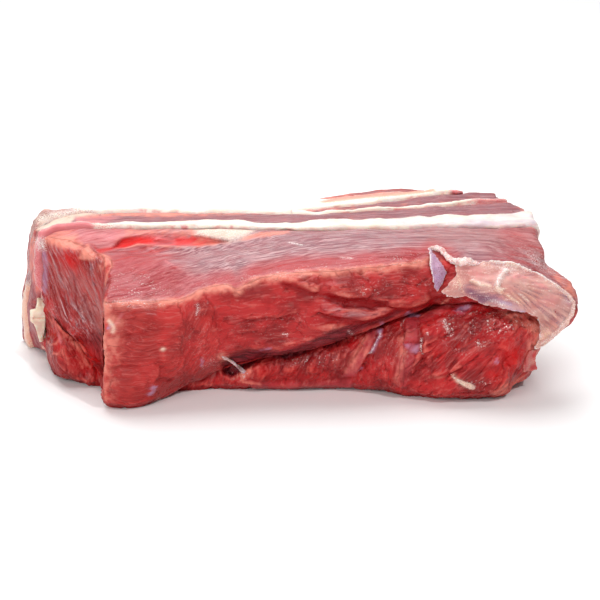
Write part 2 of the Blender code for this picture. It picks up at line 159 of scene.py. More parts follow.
def sight_line(px, py):
    """The direction from the camera through a pixel."""
    right, down = px - PICTURE_MIDDLE, py - PICTURE_MIDDLE
    line = -BACKWARDS + CAMERA_RIGHT * right / LENS_PIXELS - CAMERA_UP * down / LENS_PIXELS
    return line / np.linalg.norm(line)


def turned(points, pivot, angle, wall=(1, 0)):
    """Coordinates along and across fibres that rise at this angle, in degrees, on an upright wall.
    wall is the wall's level direction as seen from above."""
    level = np.array([*wall, 0.0]) / math.hypot(*wall)
    out = np.array([-level[1], level[0], 0.0])
    away = points - np.array(pivot, float)
    flat, high = away @ level, away[:, 2]
    c, s = math.cos(math.radians(angle)), math.sin(math.radians(angle))
    return np.stack([flat * c + high * s, high * c - flat * s, away @ out], 1)


# ---------------------------------------------------------------- meshes

def only(piece):
    """Selects this object alone and makes it the active one."""
    bpy.ops.object.select_all(action="DESELECT")
    piece.select_set(True)
    bpy.context.view_layer.objects.active = piece


def apply_all(piece):
    only(piece)
    for modifier in list(piece.modifiers):
        bpy.ops.object.modifier_apply(modifier=modifier.name)


def edit(operator, **settings):
    """Runs one edit mode operator on what is selected in the active piece."""
    bpy.ops.object.mode_set(mode="EDIT")
    operator(**settings)
    bpy.ops.object.mode_set(mode="OBJECT")


def edit_whole(piece, operator, **settings):
    """Runs one edit mode operator on all of a piece."""
    only(piece)
    edit(bpy.ops.mesh.select_all, action="SELECT")
    edit(operator, **settings)


def pick_nothing(kind):
    """Clears the active piece's selection, so that its faces or edges can be picked one by one."""
    edit(bpy.ops.mesh.select_mode, type=kind)
    edit(bpy.ops.mesh.select_all, action="DESELECT")


def new_piece(primitive, name, **settings):
    """Adds a primitive as a named piece."""
    bpy.ops.object.select_all(action="DESELECT")
    primitive(**settings)
    piece = bpy.context.active_object
    piece.name = name
    piece.data.name = name
    return piece


class Flesh:
    """A piece of meat or fat under the sculptor's hands: its points in millimetres and its painted marks."""

    def __init__(self, piece, node):
        self.node, self.piece, self.marks = node, piece, {}
        self.read()

    def read(self):
        mesh = self.piece.data
        self.count = len(mesh.vertices)
        self.points = np.zeros(self.count * 3)
        mesh.vertices.foreach_get("co", self.points)
        self.points = self.points.reshape(-1, 3) / MM
        ends = np.zeros(len(mesh.edges) * 2, np.int32)
        mesh.edges.foreach_get("vertices", ends)
        self.ends = ends.reshape(-1, 2).T
        self.degree = np.bincount(self.ends.ravel(), minlength=self.count)[:, None]
        self.look()

    def write(self):
        self.piece.data.vertices.foreach_set("co", (self.points * MM).ravel())
        self.piece.data.update()

    def look(self):
        """Writes the points and works out the normals and how the piece shows in the picture."""
        self.write()
        normals = np.zeros(self.count * 3, np.float32)
        self.piece.data.vertices.foreach_get("normal", normals)
        self.normals = normals.reshape(-1, 3).astype(float)
        self.px, self.py = in_picture(self.points)
        towards = CAMERA_PLACE - self.points
        towards /= np.linalg.norm(towards, axis=1)[:, None]
        self.facing = (self.normals * towards).sum(1)

    def spread(self, values, turns, share=0.6):
        """Values, or points, averaged with their neighbours a number of times."""
        a, b = self.ends
        flat = values[:, None] if values.ndim == 1 else values
        for _ in range(turns):
            columns = [
                np.bincount(a, column[b], self.count) + np.bincount(b, column[a], self.count)
                for column in flat.T
            ]
            flat = flat + share * (np.stack(columns, 1) / self.degree - flat)
        return flat[:, 0] if values.ndim == 1 else flat

    def melt(self, turns):
        """Smooths the facets away."""
        for _ in range(turns):
            self.points = self.spread(self.points, 1, 0.6)
            self.points = self.spread(self.points, 1, -0.53)
        self.look()

    def raise_by(self, height):
        """Moves each point out along its normal by height. What rests on the floor stays on it."""
        self.points = self.points + self.normals * height[:, None]
        self.stay_above_floor()

    def stay_above_floor(self):
        self.points[:, 2] = np.maximum(self.points[:, 2], 0.0)

    def mark(self, name, values):
        """Adds to a painted mark, which the material reads as an attribute."""
        self.marks[name] = np.clip(self.marks.get(name, 0) + values, 0, 1)

    def keep_marks(self):
        for name, values in self.marks.items():
            kind = "FLOAT_VECTOR" if values.ndim == 2 else "FLOAT"
            field = "vector" if values.ndim == 2 else "value"
            attribute = self.piece.data.attributes.new(name, kind, "POINT")
            attribute.data.foreach_set(field, values.astype(np.float32).ravel())

    def patch(self, outline, soft=4.0, shown=True):
        """1 inside an outline of pixels and 0 outside, easing over some pixels.
        shown leaves the far side out."""
        inside = np.zeros(self.count, bool)
        nearest = np.full(self.count, 1e9)
        for (ax, ay), (bx, by) in zip(outline, outline[1:] + outline[:1]):
            crosses = (ay > self.py) != (by > self.py)
            inside ^= crosses & (self.px < (bx - ax) * (self.py - ay) / ((by - ay) or 1e-9) + ax)
            run, rise = bx - ax, by - ay
            share = np.clip(((self.px - ax) * run + (self.py - ay) * rise) / (run * run + rise * rise), 0, 1)
            nearest = np.minimum(nearest, np.hypot(self.px - ax - share * run, self.py - ay - share * rise))
        depth = np.where(inside, nearest, -nearest)
        mask = step(-soft, soft, depth)
        return mask * step(-0.05, 0.2, self.facing) if shown else mask

    def dab(self, cx, cy, rx, ry, turn=0.0):
        """A soft round dab at a pixel, with its radii in pixels and its turn in degrees."""
        c, s = math.cos(math.radians(turn)), math.sin(math.radians(turn))
        dx, dy = self.px - cx, self.py - cy
        far = ((dx * c + dy * s) / rx) ** 2 + ((dy * c - dx * s) / ry) ** 2
        return np.exp(-far * 1.5) * step(-0.05, 0.2, self.facing)

    def fade_round(self, centre, radii):
        """1 at a pixel, fading out over radii in pixels, on the near and the far side alike."""
        (cx, cy), (rx, ry) = centre, radii
        return np.exp(-((self.px - cx) / rx) ** 2 - ((self.py - cy) / ry) ** 2)

    def beside(self, line, reach):
        """The points within reach of a line of points: their numbers, distance, side, and share along it."""
        low, high = line.min(0) - reach, line.max(0) + reach
        near = np.where(((self.points > low) & (self.points < high)).all(1))[0]
        if not len(near):
            return near, np.zeros(0), np.zeros(0), np.zeros(0)
        ahead = np.gradient(line, axis=0)
        ahead /= np.maximum(np.linalg.norm(ahead, axis=1), 1e-9)[:, None]
        above = np.cross(ahead, -BACKWARDS)
        above *= np.sign(above @ CAMERA_UP + 1e-9)[:, None]
        distance, side, share = [], [], []
        for start in range(0, len(near), 4000):
            some = self.points[near[start:start + 4000]]
            gaps = ((some[:, None, :] - line[None]) ** 2).sum(2)
            best = gaps.argmin(1)
            distance.append(np.sqrt(gaps[np.arange(len(some)), best]))
            side.append(((some - line[best]) * above[best]).sum(1))
            share.append(best / max(len(line) - 1, 1))
        return near, np.concatenate(distance), np.concatenate(side), np.concatenate(share)


def flesh_of_node(node, voxel):
    """A copy of a CAD node with an even skin, ready to be sculpted."""
    piece = bpy.data.objects.new(f"{node}_flesh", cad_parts[node].data.copy())
    bpy.context.scene.collection.objects.link(piece)
    piece.data.materials.clear()
    edit_whole(piece, bpy.ops.mesh.remove_doubles, threshold=MERGE_DISTANCE * MM)
    skin = piece.modifiers.new("even skin", "REMESH")
    skin.mode = "VOXEL"
    skin.voxel_size = voxel * MM
    apply_all(piece)
    return Flesh(piece, node)


def shared_warp(points):
    """How the block is pushed about by hand, the same for every piece, so that they stay side by side."""
    wide = np.stack([ripple(points / 31, 40 + i) for i in range(3)], 1) * (1.0, 1.0, 0.9)
    small = np.stack([ripple(points / 9, 50 + i) for i in range(3)], 1) * (0.45, 0.5, 0.45)
    push = wide + small
    push[:, 2] *= step(0, 9, points[:, 2])
    return push


TRACE_SPACING = 0.45


def trace(pixels, fleshes):
    """Lays a line of pixels onto the meat as the camera sees it, as points half a millimetre or so apart."""
    found = []
    camera_place = Vector(CAMERA_PLACE * MM)
    for pixel in pixels:
        aim = Vector(sight_line(*pixel))
        nearest = None
        for flesh in fleshes:
            hit, place, _, _ = flesh.piece.ray_cast(camera_place, aim)
            if hit:
                far = (place - camera_place).length
                if nearest is None or far < nearest[0]:
                    nearest = (far, np.array(place) / MM)
        if nearest is not None:
            found.append(nearest[1])
    if len(found) < 2:
        return None
    found = np.array(found)
    legs = np.concatenate([[0], np.cumsum(np.linalg.norm(np.diff(found, axis=0), axis=1))])
    samples = np.linspace(0, legs[-1], max(int(legs[-1] / TRACE_SPACING), 2))
    line = np.stack([np.interp(samples, legs, found[:, k]) for k in range(3)], 1)
    for _ in range(3):
        line[1:-1] = (line[:-2] + 2 * line[1:-1] + line[2:]) / 4
    return line


def tapered(share, end=0.18):
    """Fades a stroke out at both ends."""
    return step(0, end, share) * step(1, 1 - end, share)


# ---------------------------------------------------------------- strokes, in pixels of the picture

# The line where the flat top of the front muscle rolls over to its face.
TOP_RIM = (
    (104, 303), (120, 302), (150, 302), (176, 301), (190, 297), (200, 291), (214, 287), (228, 286),
    (236, 290), (242, 287), (250, 282), (262, 278), (275, 276.5), (300, 273), (350, 270), (400, 265.5),
    (420, 262), (430, 257), (454, 262), (475, 267), (524, 270), (553, 286), (576, 306), (600, 330),
)
# The foot's left edge, and where the front muscle begins to the right of it.
FOOT_EDGE_PX = 103.5
FRONT_BEGINS = (100, 106)
# How red the top is along that line, where its grey film has worn off.
RIM_MAUVE = 0.5
# Where that line, its pale band of painted highlight and its red band reach in the picture, and how far above
# it the red one lies.
RIM_RED_LEFT = (190, 235)
RIM_RED_RIGHT = (470, 430)
RIM_RED_ABOVE = (-23, -7)
RIM_PALE_RIGHT = (440, 420)
# Where the grey film begins on the top, along a line that leans back from this height, and where it thins
# out.
FILM_BEGINS = (150, 215)
FILM_LEANS_FROM = 270
FILM_THINS = (470, 530)
# Where the lumps of the face grow towards the right.
FACE_LUMPS_GROW = (230, 330)
# Where the level fibres of the foot end, and where the strands that sweep down beside it end, in
# millimetres.
FOOT_END = -47.5
STRANDS_END = -34.0
# How far back the fibres of the top lie at each place along the block, in millimetres.
TOP_FIBRE_BOW = (
    (-95, -34), (-75, -26), (-50, -15.5), (-25, -6.5), (0, -1), (25, 1), (50, 1), (80, -2), (110, -8),
)
# The hollow left end of the front muscle, between the top, the foot and the lower lobe.
END_FACE = (
    (44, 236), (70, 240), (95, 252), (110, 258), (113, 266), (107, 277), (103.5, 290), (103.5, 385),
    (89, 361), (75, 340), (60, 325), (50, 315), (47, 290), (45, 262),
)
# The lobe under the hollow end, which falls back behind the foot, and how far it does so in millimetres.
END_LOBE = (
    (38, 298), (47, 313), (60, 325), (75, 340), (89, 361), (103.5, 382), (103.5, 420), (30, 420), (30, 340),
)
END_LOBE_DEPTH = 11.0
END_LOBE_ACROSS = (46, 100)
# How deep the hollow end and the crevice on the top are, in millimetres, and where they deepen in the
# picture.
END_HOLLOW_DEPTH = 8.0
END_DEEPENS_RIGHTWARDS = (44, 100)
END_DEEPENS_DOWNWARDS = (245, 350)
CREVICE_DEPTH = 2.4
CREVICE_DEEPENS = (231, 242)
# Which way the end's wall runs, as seen from above.
END_WALL = (0.467, -0.884)
# How far the left silhouette moves to the right, in pixels, at each height of the picture, and where that
# ends.
LEFT_SIDE_ENDS = (66, 32)
LEFT_SHIFT = (
    (200, 0), (214, 1.5), (222, 6), (236, 5), (254, 4), (269, 4.5), (280, 2), (292, -1), (306, -1.5),
    (321, 0), (335, 1.5), (345, 4), (356, 6), (370, 6), (390, 2),
)
MILLIMETRES_A_PIXEL = 0.425
# The tendon's left and right edge at each height of the picture, in pixels.
TENDON_EDGES = (
    (286, 40.5, 44.5), (292, 39, 45), (303, 38, 46), (309.5, 36.5, 46), (311.5, 32.5, 46.5),
    (321, 32.5, 46.5), (324, 35, 46), (334, 38, 45), (347, 40.5, 43.5),
)
TENDON_PROUD = 2.0
# Where the meat makes room for it: centre and radii in pixels, how far to the right, and how far back in
# millimetres.
TENDON_ROOM = ((41, 322), (10, 27), 2.6, 4.5)
LEAF_TIP = ((34, 296), (7, 11), 2.6, 1.0)
# Places where the whole block is pushed about in the picture: (centre, radii, how far), all in pixels.
PUSHES = {
    "nose_seam": ((522, 326), (24, 13), (0, -11)),
    "nose_seam_left": ((488, 312), (20, 10), (0, -4)),
    "nose_seam_tip": ((545, 334), (12, 12), (0, -7)),
    "end_seam": ((74, 348), (14, 16), (7, -6)),
    "end_seam_low": ((88, 376), (13, 13), (7, -9)),
    "right_notch": ((557, 262), (12, 12), (-9, 0)),
    "seam_right_end": ((541, 218), (12, 7), (-6, 0)),
    "layer_corner": ((503, 196), (8, 5), (-5, 2)),
    "back_corner": ((32, 217), (6, 6), (3, 2)),
    "back_crest": ((44, 212), (7, 5), (0, -4)),
    "outer_end": ((497, 199.5), (7, 2.6), (6, 0)),
    "back_muscle_end": ((521, 203), (9, 4), (-7, 1)),
    "right_base": ((524, 386), (14, 12), (-9, -1)),
    "lower_base": ((368, 392), (34, 6), (0, -2)),
    "lower_base_right": ((440, 400), (30, 6), (0, -1.5)),
    "end_lobe_base": ((66, 382), (12, 7), (0, -3)),
    "right_tip_high": ((576, 295), (8, 10), (-3, 0)),
    "seam_end": ((40, 232), (16, 10), (0, 3)),
    "seam_low_end": ((40, 360), (7, 10), (4, -6)),
    "right_flap": ((543, 361), (10, 13), (-6, 0)),
    "right_tip": ((556, 345), (12, 9), (-4, -2)),
}
# Places where the top of the block is pushed forwards: centre and radii in pixels, and millimetres. What
# lies
# below the first of these heights in millimetres stays.
TOP_SHIFT_HEIGHTS = (30, 55)
TOP_SHIFTS = {
    "seam": ((215, 224), (110, 7), 4.0),
    "seam_middle": ((310, 225), (40, 8), 2.0),
    "seam_right": ((488, 222), (52, 9), 4.6),
    "back_fat_end": ((458, 188), (9, 5), 6.0),
}
# Swellings and hollows: (centre and radii in pixels, turn in degrees, height in millimetres).
BUMPS = {
    "knob": ((102, 396), (6, 8), 0, 2.2),
    "tab": ((88, 251), (8, 6), 0, 1.8),
    "crevice_bulb": ((159, 241), (8, 4), 0, 2.0),
    "smooth_lobe": ((355, 310), (36, 6.5), 0, 2.0),
    "above_slit": ((352, 289), (42, 6), 4, 1.4),
    "lower_ridge": ((338, 325), (30, 5), -6, 1.5),
    "cloud": ((258, 306), (22, 10), 0, 1.5),
    "cloud_low": ((300, 327), (22, 6), 0, 1.0),
    "right_block": ((405, 283), (26, 14), -10, 1.3),
    "block_left": ((228, 292), (16, 7), -10, 1.0),
    "foot_low": ((132, 386), (24, 14), 0, 1.4),
    "foot_middle": ((130, 350), (22, 12), 0, 1.2),
    "foot_high": ((140, 316), (30, 9), 0, 0.8),
    "foot_groove": ((188, 345), (8, 30), 0, -2.0),
    "after_foot": ((214, 338), (12, 18), 0, 1.2),
    "under_slit": ((330, 298), (16, 3.5), 14, -2.2),
    "middle_hollow": ((226, 320), (14, 7), 0, -1.2),
    "bush_a": ((262, 372), (8, 12), 10, 1.4),
    "bush_b": ((288, 367), (8, 11), 15, 1.4),
    "bush_c": ((312, 365), (8, 12), 15, 1.5),
    "bush_d": ((333, 362), (7, 13), 20, 1.2),
    "lobe_shoulder": ((530, 328), (12, 14), 0, 1.6),
    "lobe_swirl": ((466, 330), (16, 10), -20, 1.6),
    "lobe_middle": ((488, 345), (22, 8), 0, 1.2),
    "lobe_low": ((455, 385), (22, 8), -12, 1.6),
    "lobe_low_right": ((500, 385), (16, 7), -30, 1.2),
    "lobe_hollow": ((512, 356), (8, 16), 50, -1.6),
    "lobe_groove": ((440, 352), (5, 20), 25, -1.4),
    "end_bulge": ((66, 250), (16, 8), 20, 1.6),
    "end_low_lobe": ((66, 355), (16, 14), 30, 1.8),
    "end_pocket": ((53, 333), (4.5, 7), 0, -1.6),
    "end_red_lobe": ((50, 306), (7, 10), -20, 1.2),
    "panel_right": ((170, 366), (10, 15), 0, 0.7),
}
# Swellings at the left end that run over several layers, as in BUMPS.
END_SWELLS = {
    "leaf": ((36.5, 267), (8, 27), -4, 2.2),
    "leaf_top": ((40, 244), (9, 7), 0, 0.8),
    "low_rim": ((30, 318), (5, 26), 0, 1.0),
}
CREVICE_TOP_LEFT = (
    (112, 249), (122, 239), (150, 233.5), (175, 233.5), (200, 236.5), (228, 242), (200, 245.5), (155, 245),
    (137, 243.5), (124, 248),
)
# How strongly the crevice is painted with a red glow at each place along it, in pixels.
CREVICE_GLOW = (
    (112, 0.6), (122, 0.95), (148, 1.0), (156, 0.45), (170, 0.4), (178, 0.85), (194, 0.7), (206, 0.4),
    (230, 0.3),
)
PALE_BANK_STRENGTH = 0.8
PALE_BANK = (
    (196, 229), (214, 226), (244, 226), (254, 231), (248, 234), (240, 238.5), (229, 241), (210, 237),
    (196, 234),
)
PEACH_BANK = (
    (118, 238), (128, 230), (160, 228), (210, 229), (214, 236), (200, 237), (160, 233.5), (135, 234),
)
# The underside that the front muscle turns down to the main crease, pushed back and painted in purple-brown
# shade.
UNDERSIDE = (
    (240, 357), (250, 352), (258, 350), (265, 352), (279, 351), (294, 347), (301, 344), (314, 339),
    (326, 334), (332, 330), (347, 325), (360, 321), (372, 320), (384, 316), (397, 309), (404, 309),
    (390, 319), (368, 326), (360, 331), (351, 336), (341, 341), (330, 348), (320, 347), (311, 351),
    (298, 356), (285, 359), (273, 358), (260, 357), (248, 364), (236, 369),
)
# Smooth bands of tougher meat in the lower muscle.
BANDS = {
    "band_one": (
        (367, 326), (366, 340), (358, 354), (349, 365), (341, 377), (355, 376), (363, 363), (368, 353),
        (375, 339), (378, 325),
    ),
    "band_two_high": ((405, 318), (406, 330), (405, 342), (418, 341), (419, 328), (418, 318)),
    "band_two_low": (
        (401, 347), (396, 364), (394, 376), (400, 387), (405, 387), (410, 371), (415, 356), (408, 348),
    ),
    "shelf_one": (
        (417, 320), (428, 313), (443, 305), (452, 299), (457, 301), (447, 309), (432, 318), (421, 324),
    ),
    "low_fold": (
        (250, 382), (280, 383), (310, 383), (340, 380), (352, 379), (352, 387), (319, 388), (290, 390),
        (252, 388),
    ),
}
LILAC_PATCH = ((404, 344), (420, 344), (417, 353), (409, 351))

# Folds: the flesh above the line hangs over the flesh below it. (points, width, depth) in millimetres.
FOLDS = {
    "upper_fold": (((276, 281), (290, 284), (303, 289), (312, 293), (322, 293)), 2.6, 1.5),
    "long_fold": (
        ((320, 292), (333, 296), (347, 299), (368, 301), (391, 305), (410, 306), (426, 303), (438, 297)),
        3.2, 2.2,
    ),
    "lens_fold": (((312, 313), (330, 317), (349, 320), (370, 319), (384, 315), (396, 308)), 2.6, 1.8),
    "cloud_fold": (
        ((238, 317), (248, 320), (257, 320), (265, 317), (279, 319), (291, 315), (303, 316)), 2.4, 1.2,
    ),
    "short_fold": (((242, 300), (252, 298), (263, 297)), 1.8, 0.8),
    "middle_fold": (((238, 334), (255, 332), (270, 334)), 2.0, 0.8),
    "low_fold": (((276, 347), (290, 345), (303, 343), (318, 341)), 1.8, 0.8),
    "foot_crease_high": (((120, 331), (128, 334), (141, 333), (150, 329)), 1.8, 0.8),
    "foot_crease_middle": (((108, 369), (118, 367), (128, 366), (140, 368)), 1.6, 0.8),
    "foot_crease_right": (((153, 379), (163, 377), (175, 378)), 1.8, 1.0),
    "foot_step": (((158, 349), (160, 357), (161, 366), (158, 380)), 2.2, 0.5),
    "hollow_edge": (((186, 316), (193, 330), (190, 350), (187, 366), (198, 384)), 2.5, 0.6),
    "hollow_patch": (((199, 313), (208, 311), (219, 312)), 1.8, 0.8),
    "lower_crease_right": (((425, 377), (437, 376), (451, 373), (466, 366)), 2.2, 1.1),
    "lower_band_left": (((384, 320), (378, 333), (373, 346), (363, 366), (357, 374)), 2.4, 1.2),
    "lower_band_mid": (((419, 318), (422, 337), (422, 355), (416, 372), (410, 384)), 2.4, 1.2),
    "lower_step_right": (((492, 345), (505, 352), (512, 366), (507, 382)), 3.0, 1.0),
    "end_lobe_edge": (((47, 313), (60, 325), (75, 340), (89, 361), (104, 382)), 2.6, -0.25),
}
# The main crease: the front muscle hangs over it, and the lower muscle falls back under it.
MAIN_CREASE = (
    (226, 369), (238, 361), (252, 356), (268, 353), (284, 353), (300, 350), (316, 345), (332, 341),
    (346, 337), (358, 330), (370, 322), (384, 317), (397, 311), (414, 308), (432, 304), (446, 300),
)
# The pocket at the crease's left end, that a strand crosses and that is painted in shade, and how far it and
# the underside fall back.
STRAND_POCKET = (
    (222, 363), (230, 355), (246, 350), (264, 349), (278, 351), (262, 358), (250, 366), (240, 373),
    (231, 377), (224, 373),
)
POCKET_DEPTH = 4.5
UNDERSIDE_DEPTH = 2.6
MAIN_CREASE_WIDTH = 5.5
MAIN_CREASE_DEPTH = 6.0
CREASE_LIP_HEIGHT = 1.6

# Painted lines: (mark, points, width in millimetres, strength, how far the line stands proud in
# millimetres).
LINES = {
    # The pale rim line is a painted highlight along the rounded edge of the top.
    "rim": ("pale", TOP_RIM[:19], 1.5, 0.6, 0.5),
    "foot_left_rim": (
        "pale", ((104.5, 300), (104, 320), (104.5, 345), (104.5, 370), (105.5, 400)), 0.8, 0.8, 0.35,
    ),
    "top_left_rim": ("pale", ((96, 252.5), (109, 259), (112, 266), (107, 277), (104.5, 289)), 0.8, 0.7, 0.2),
    "top_left_lip": (
        "pale", ((112, 249.5), (124, 248.5), (137, 244.5), (155, 246), (178, 247), (205, 246)), 0.7, 0.5,
        0.4,
    ),
    "top_crest": (
        "pink", ((135, 245), (147, 247), (157, 254), (166, 262), (176, 268), (184, 271)), 0.7, 0.5, 0.5,
    ),
    "foot_vein_a": ("fat", ((107, 319), (110, 322), (113, 325), (114, 330), (111, 334)), 0.7, 0.55, 0.2),
    "foot_vein_b": ("lilac", ((107, 329), (110, 326), (112, 323)), 0.7, 0.6, 0.1),
    "foot_vein_c": ("pink", ((123, 313), (118, 320), (113, 328)), 0.6, 0.5, 0.1),
    "foot_strand": ("white", ((196, 303), (199, 309), (195, 316)), 0.45, 0.5, 0.3),
    "foot_low_patch": ("lilac", ((156, 385), (153, 390), (149, 396)), 1.3, 0.8, 0.2),
    "lobe_edge": ("pale", ((47, 316), (60, 328.5), (75, 344), (87.5, 363.5), (101, 382)), 0.9, 0.95, 0.45),
    # A painted red glow that lightens the shaded gap under the lobe's edge.
    "lobe_gap": ("glow", ((49, 307), (62, 322), (77, 338), (90, 356), (103, 376)), 1.2, 0.25, 0.0),
    "lobe_inner": ("pink", ((50, 312), (58, 332), (62, 345)), 0.7, 0.7, 0.3),
    "lobe_vein_u": ("pale", ((47, 341), (51, 345.5), (57, 343), (59, 337)), 0.55, 0.6, 0.2),
    "lobe_vein_low": ("pale", ((50, 359), (53, 353), (58, 354), (71, 366)), 0.45, 0.5, 0.2),
    "lobe_streak_a": ("pale", ((62, 335), (72, 352), (84, 370)), 0.5, 0.6, 0.3),
    "lobe_streak_b": ("pale", ((66, 330), (78, 347), (92, 370)), 0.5, 0.5, 0.3),
    "strand_foot": ("pale", ((240, 377), (246, 372), (253, 370)), 1.6, 0.8, 0.5),
    "hollow_glint": ("lilac", ((200, 358), (203, 362), (201, 367)), 0.6, 0.7, 0.2),
    "tendon_slit": ("peach", ((32, 318.5), (40, 318.8), (46, 318)), 0.4, 1.0, -0.6),
    "middle_fat_line": ("pale", ((242, 376), (242, 382), (249, 383), (262, 384)), 0.7, 0.8, 0.2),
    "glint_a": ("lilac", ((256, 352), (263, 350), (272, 348)), 0.6, 0.6, 0.1),
    "glint_b": ("white", ((282, 333), (289, 335.5)), 0.45, 0.6, 0.1),
    "glint_d": ("white", ((347, 330), (353, 335)), 0.4, 0.4, 0.1),
    "glint_e": ("white", ((422, 337), (421, 346), (423, 355)), 0.45, 0.7, 0.2),
    "glint_f": ("white", ((426, 331), (429, 335)), 0.45, 0.7, 0.2),
    "glint_g": ("white", ((443, 320), (446, 327), (449, 332), (453, 336)), 0.7, 0.6, 0.2),
    "glint_h": ("white", ((405, 318), (403, 322), (401, 326)), 0.45, 0.6, 0.2),
    "glint_i": ("white", ((287, 242.5), (293, 243), (298, 244.5), (304, 245.5)), 0.6, 0.9, 0.1),
    "glint_j": ("white", ((340, 257.5), (347, 258), (353, 258.5)), 0.5, 0.6, 0.1),
    "cream_line": ("pale", ((428, 377), (440, 377), (450, 374)), 0.6, 0.9, 0.3),
    "cream_strip": ("fat", ((451, 374), (457, 380), (464, 384), (470, 386.5), (475, 388)), 0.9, 0.75, 0.6),
    "shelf_edge": ("pale", ((418, 319), (428, 312), (443, 303), (452, 297)), 0.5, 0.6, 0.4),
    "lobe_top_edge": ("pale", ((512, 313), (534, 316), (540, 323), (540, 332)), 0.6, 0.5, 0.2),
    "knob_pale": ("pale", ((99, 388), (98, 396), (100, 404)), 1.2, 0.7, 0.0),
    "membrane_left": (
        "lilac", ((383, 321), (380, 331), (381, 335.5), (375, 345), (372, 351), (367, 354)), 0.9, 0.9, 0.4,
    ),
    "membrane_core": ("white", ((380, 331), (381, 335), (375, 345), (371, 352), (367, 354)), 0.4, 0.7, 0.1),
    "membrane_low": ("lilac", ((363, 366), (358, 372)), 0.8, 0.8, 0.1),
    "membrane_top": ("lilac", ((405, 313), (413, 315), (421, 316)), 1.2, 0.7, 0.0),
    "lower_glint_line": ("lilac", ((453, 312), (461, 308), (472, 306)), 1.1, 0.7, 0.1),
    "lower_dot": ("fat", ((431, 392), (433, 393)), 1.2, 1.0, 0.4),
    # A painted reflection of the light on the wet meat.
    "lower_reflection_spot": ("lilac", ((494, 360), (499, 363)), 1.3, 0.8, 0.2),
    "crease_mid_bands": ("pale", ((402, 333), (403, 350), (399, 372), (396, 386)), 1.6, 0.45, 0.5),
    "crease_left_bands": ("pale", ((368, 327), (364, 340), (356, 358), (346, 376)), 1.6, 0.45, 0.5),
    # The deep lines are painted shade in the gaps between the end's fibres.
    "end_gap_a": ("deep", ((49, 262), (55, 280), (61, 296), (68, 308)), 0.7, 0.7, -0.4),
    "end_gap_b": ("deep", ((72, 272), (76, 288), (75, 300), (79, 312)), 0.7, 0.75, -0.4),
    "end_gap_c": ("deep", ((84, 298), (91, 316), (99, 334)), 0.6, 0.6, -0.3),
    "end_gap_d": ("deep", ((64, 300), (76, 320), (88, 338)), 0.5, 0.6, -0.3),
    "end_fibre_a": ("film", ((47, 244), (54, 262), (62, 280), (74, 305), (88, 326)), 0.8, 0.7, 0.4),
    "end_fibre_b": ("film", ((58, 250), (70, 268), (80, 292), (92, 318), (102, 338)), 0.7, 0.6, 0.35),
    "end_fibre_c": ("film", ((90, 262), (93, 280), (98, 302), (102, 322)), 0.7, 0.6, 0.3),
}
FRONT, LOWER, SEAM, MIDDLE = ("front_muscle",), ("lower_muscle",), ("fat_seam",), ("middle_muscle",)
THIN_SEAM, BACK, BACK_FAT, OUTER = ("thin_seam",), ("back_muscle",), ("back_fat",), ("outer_muscle",)
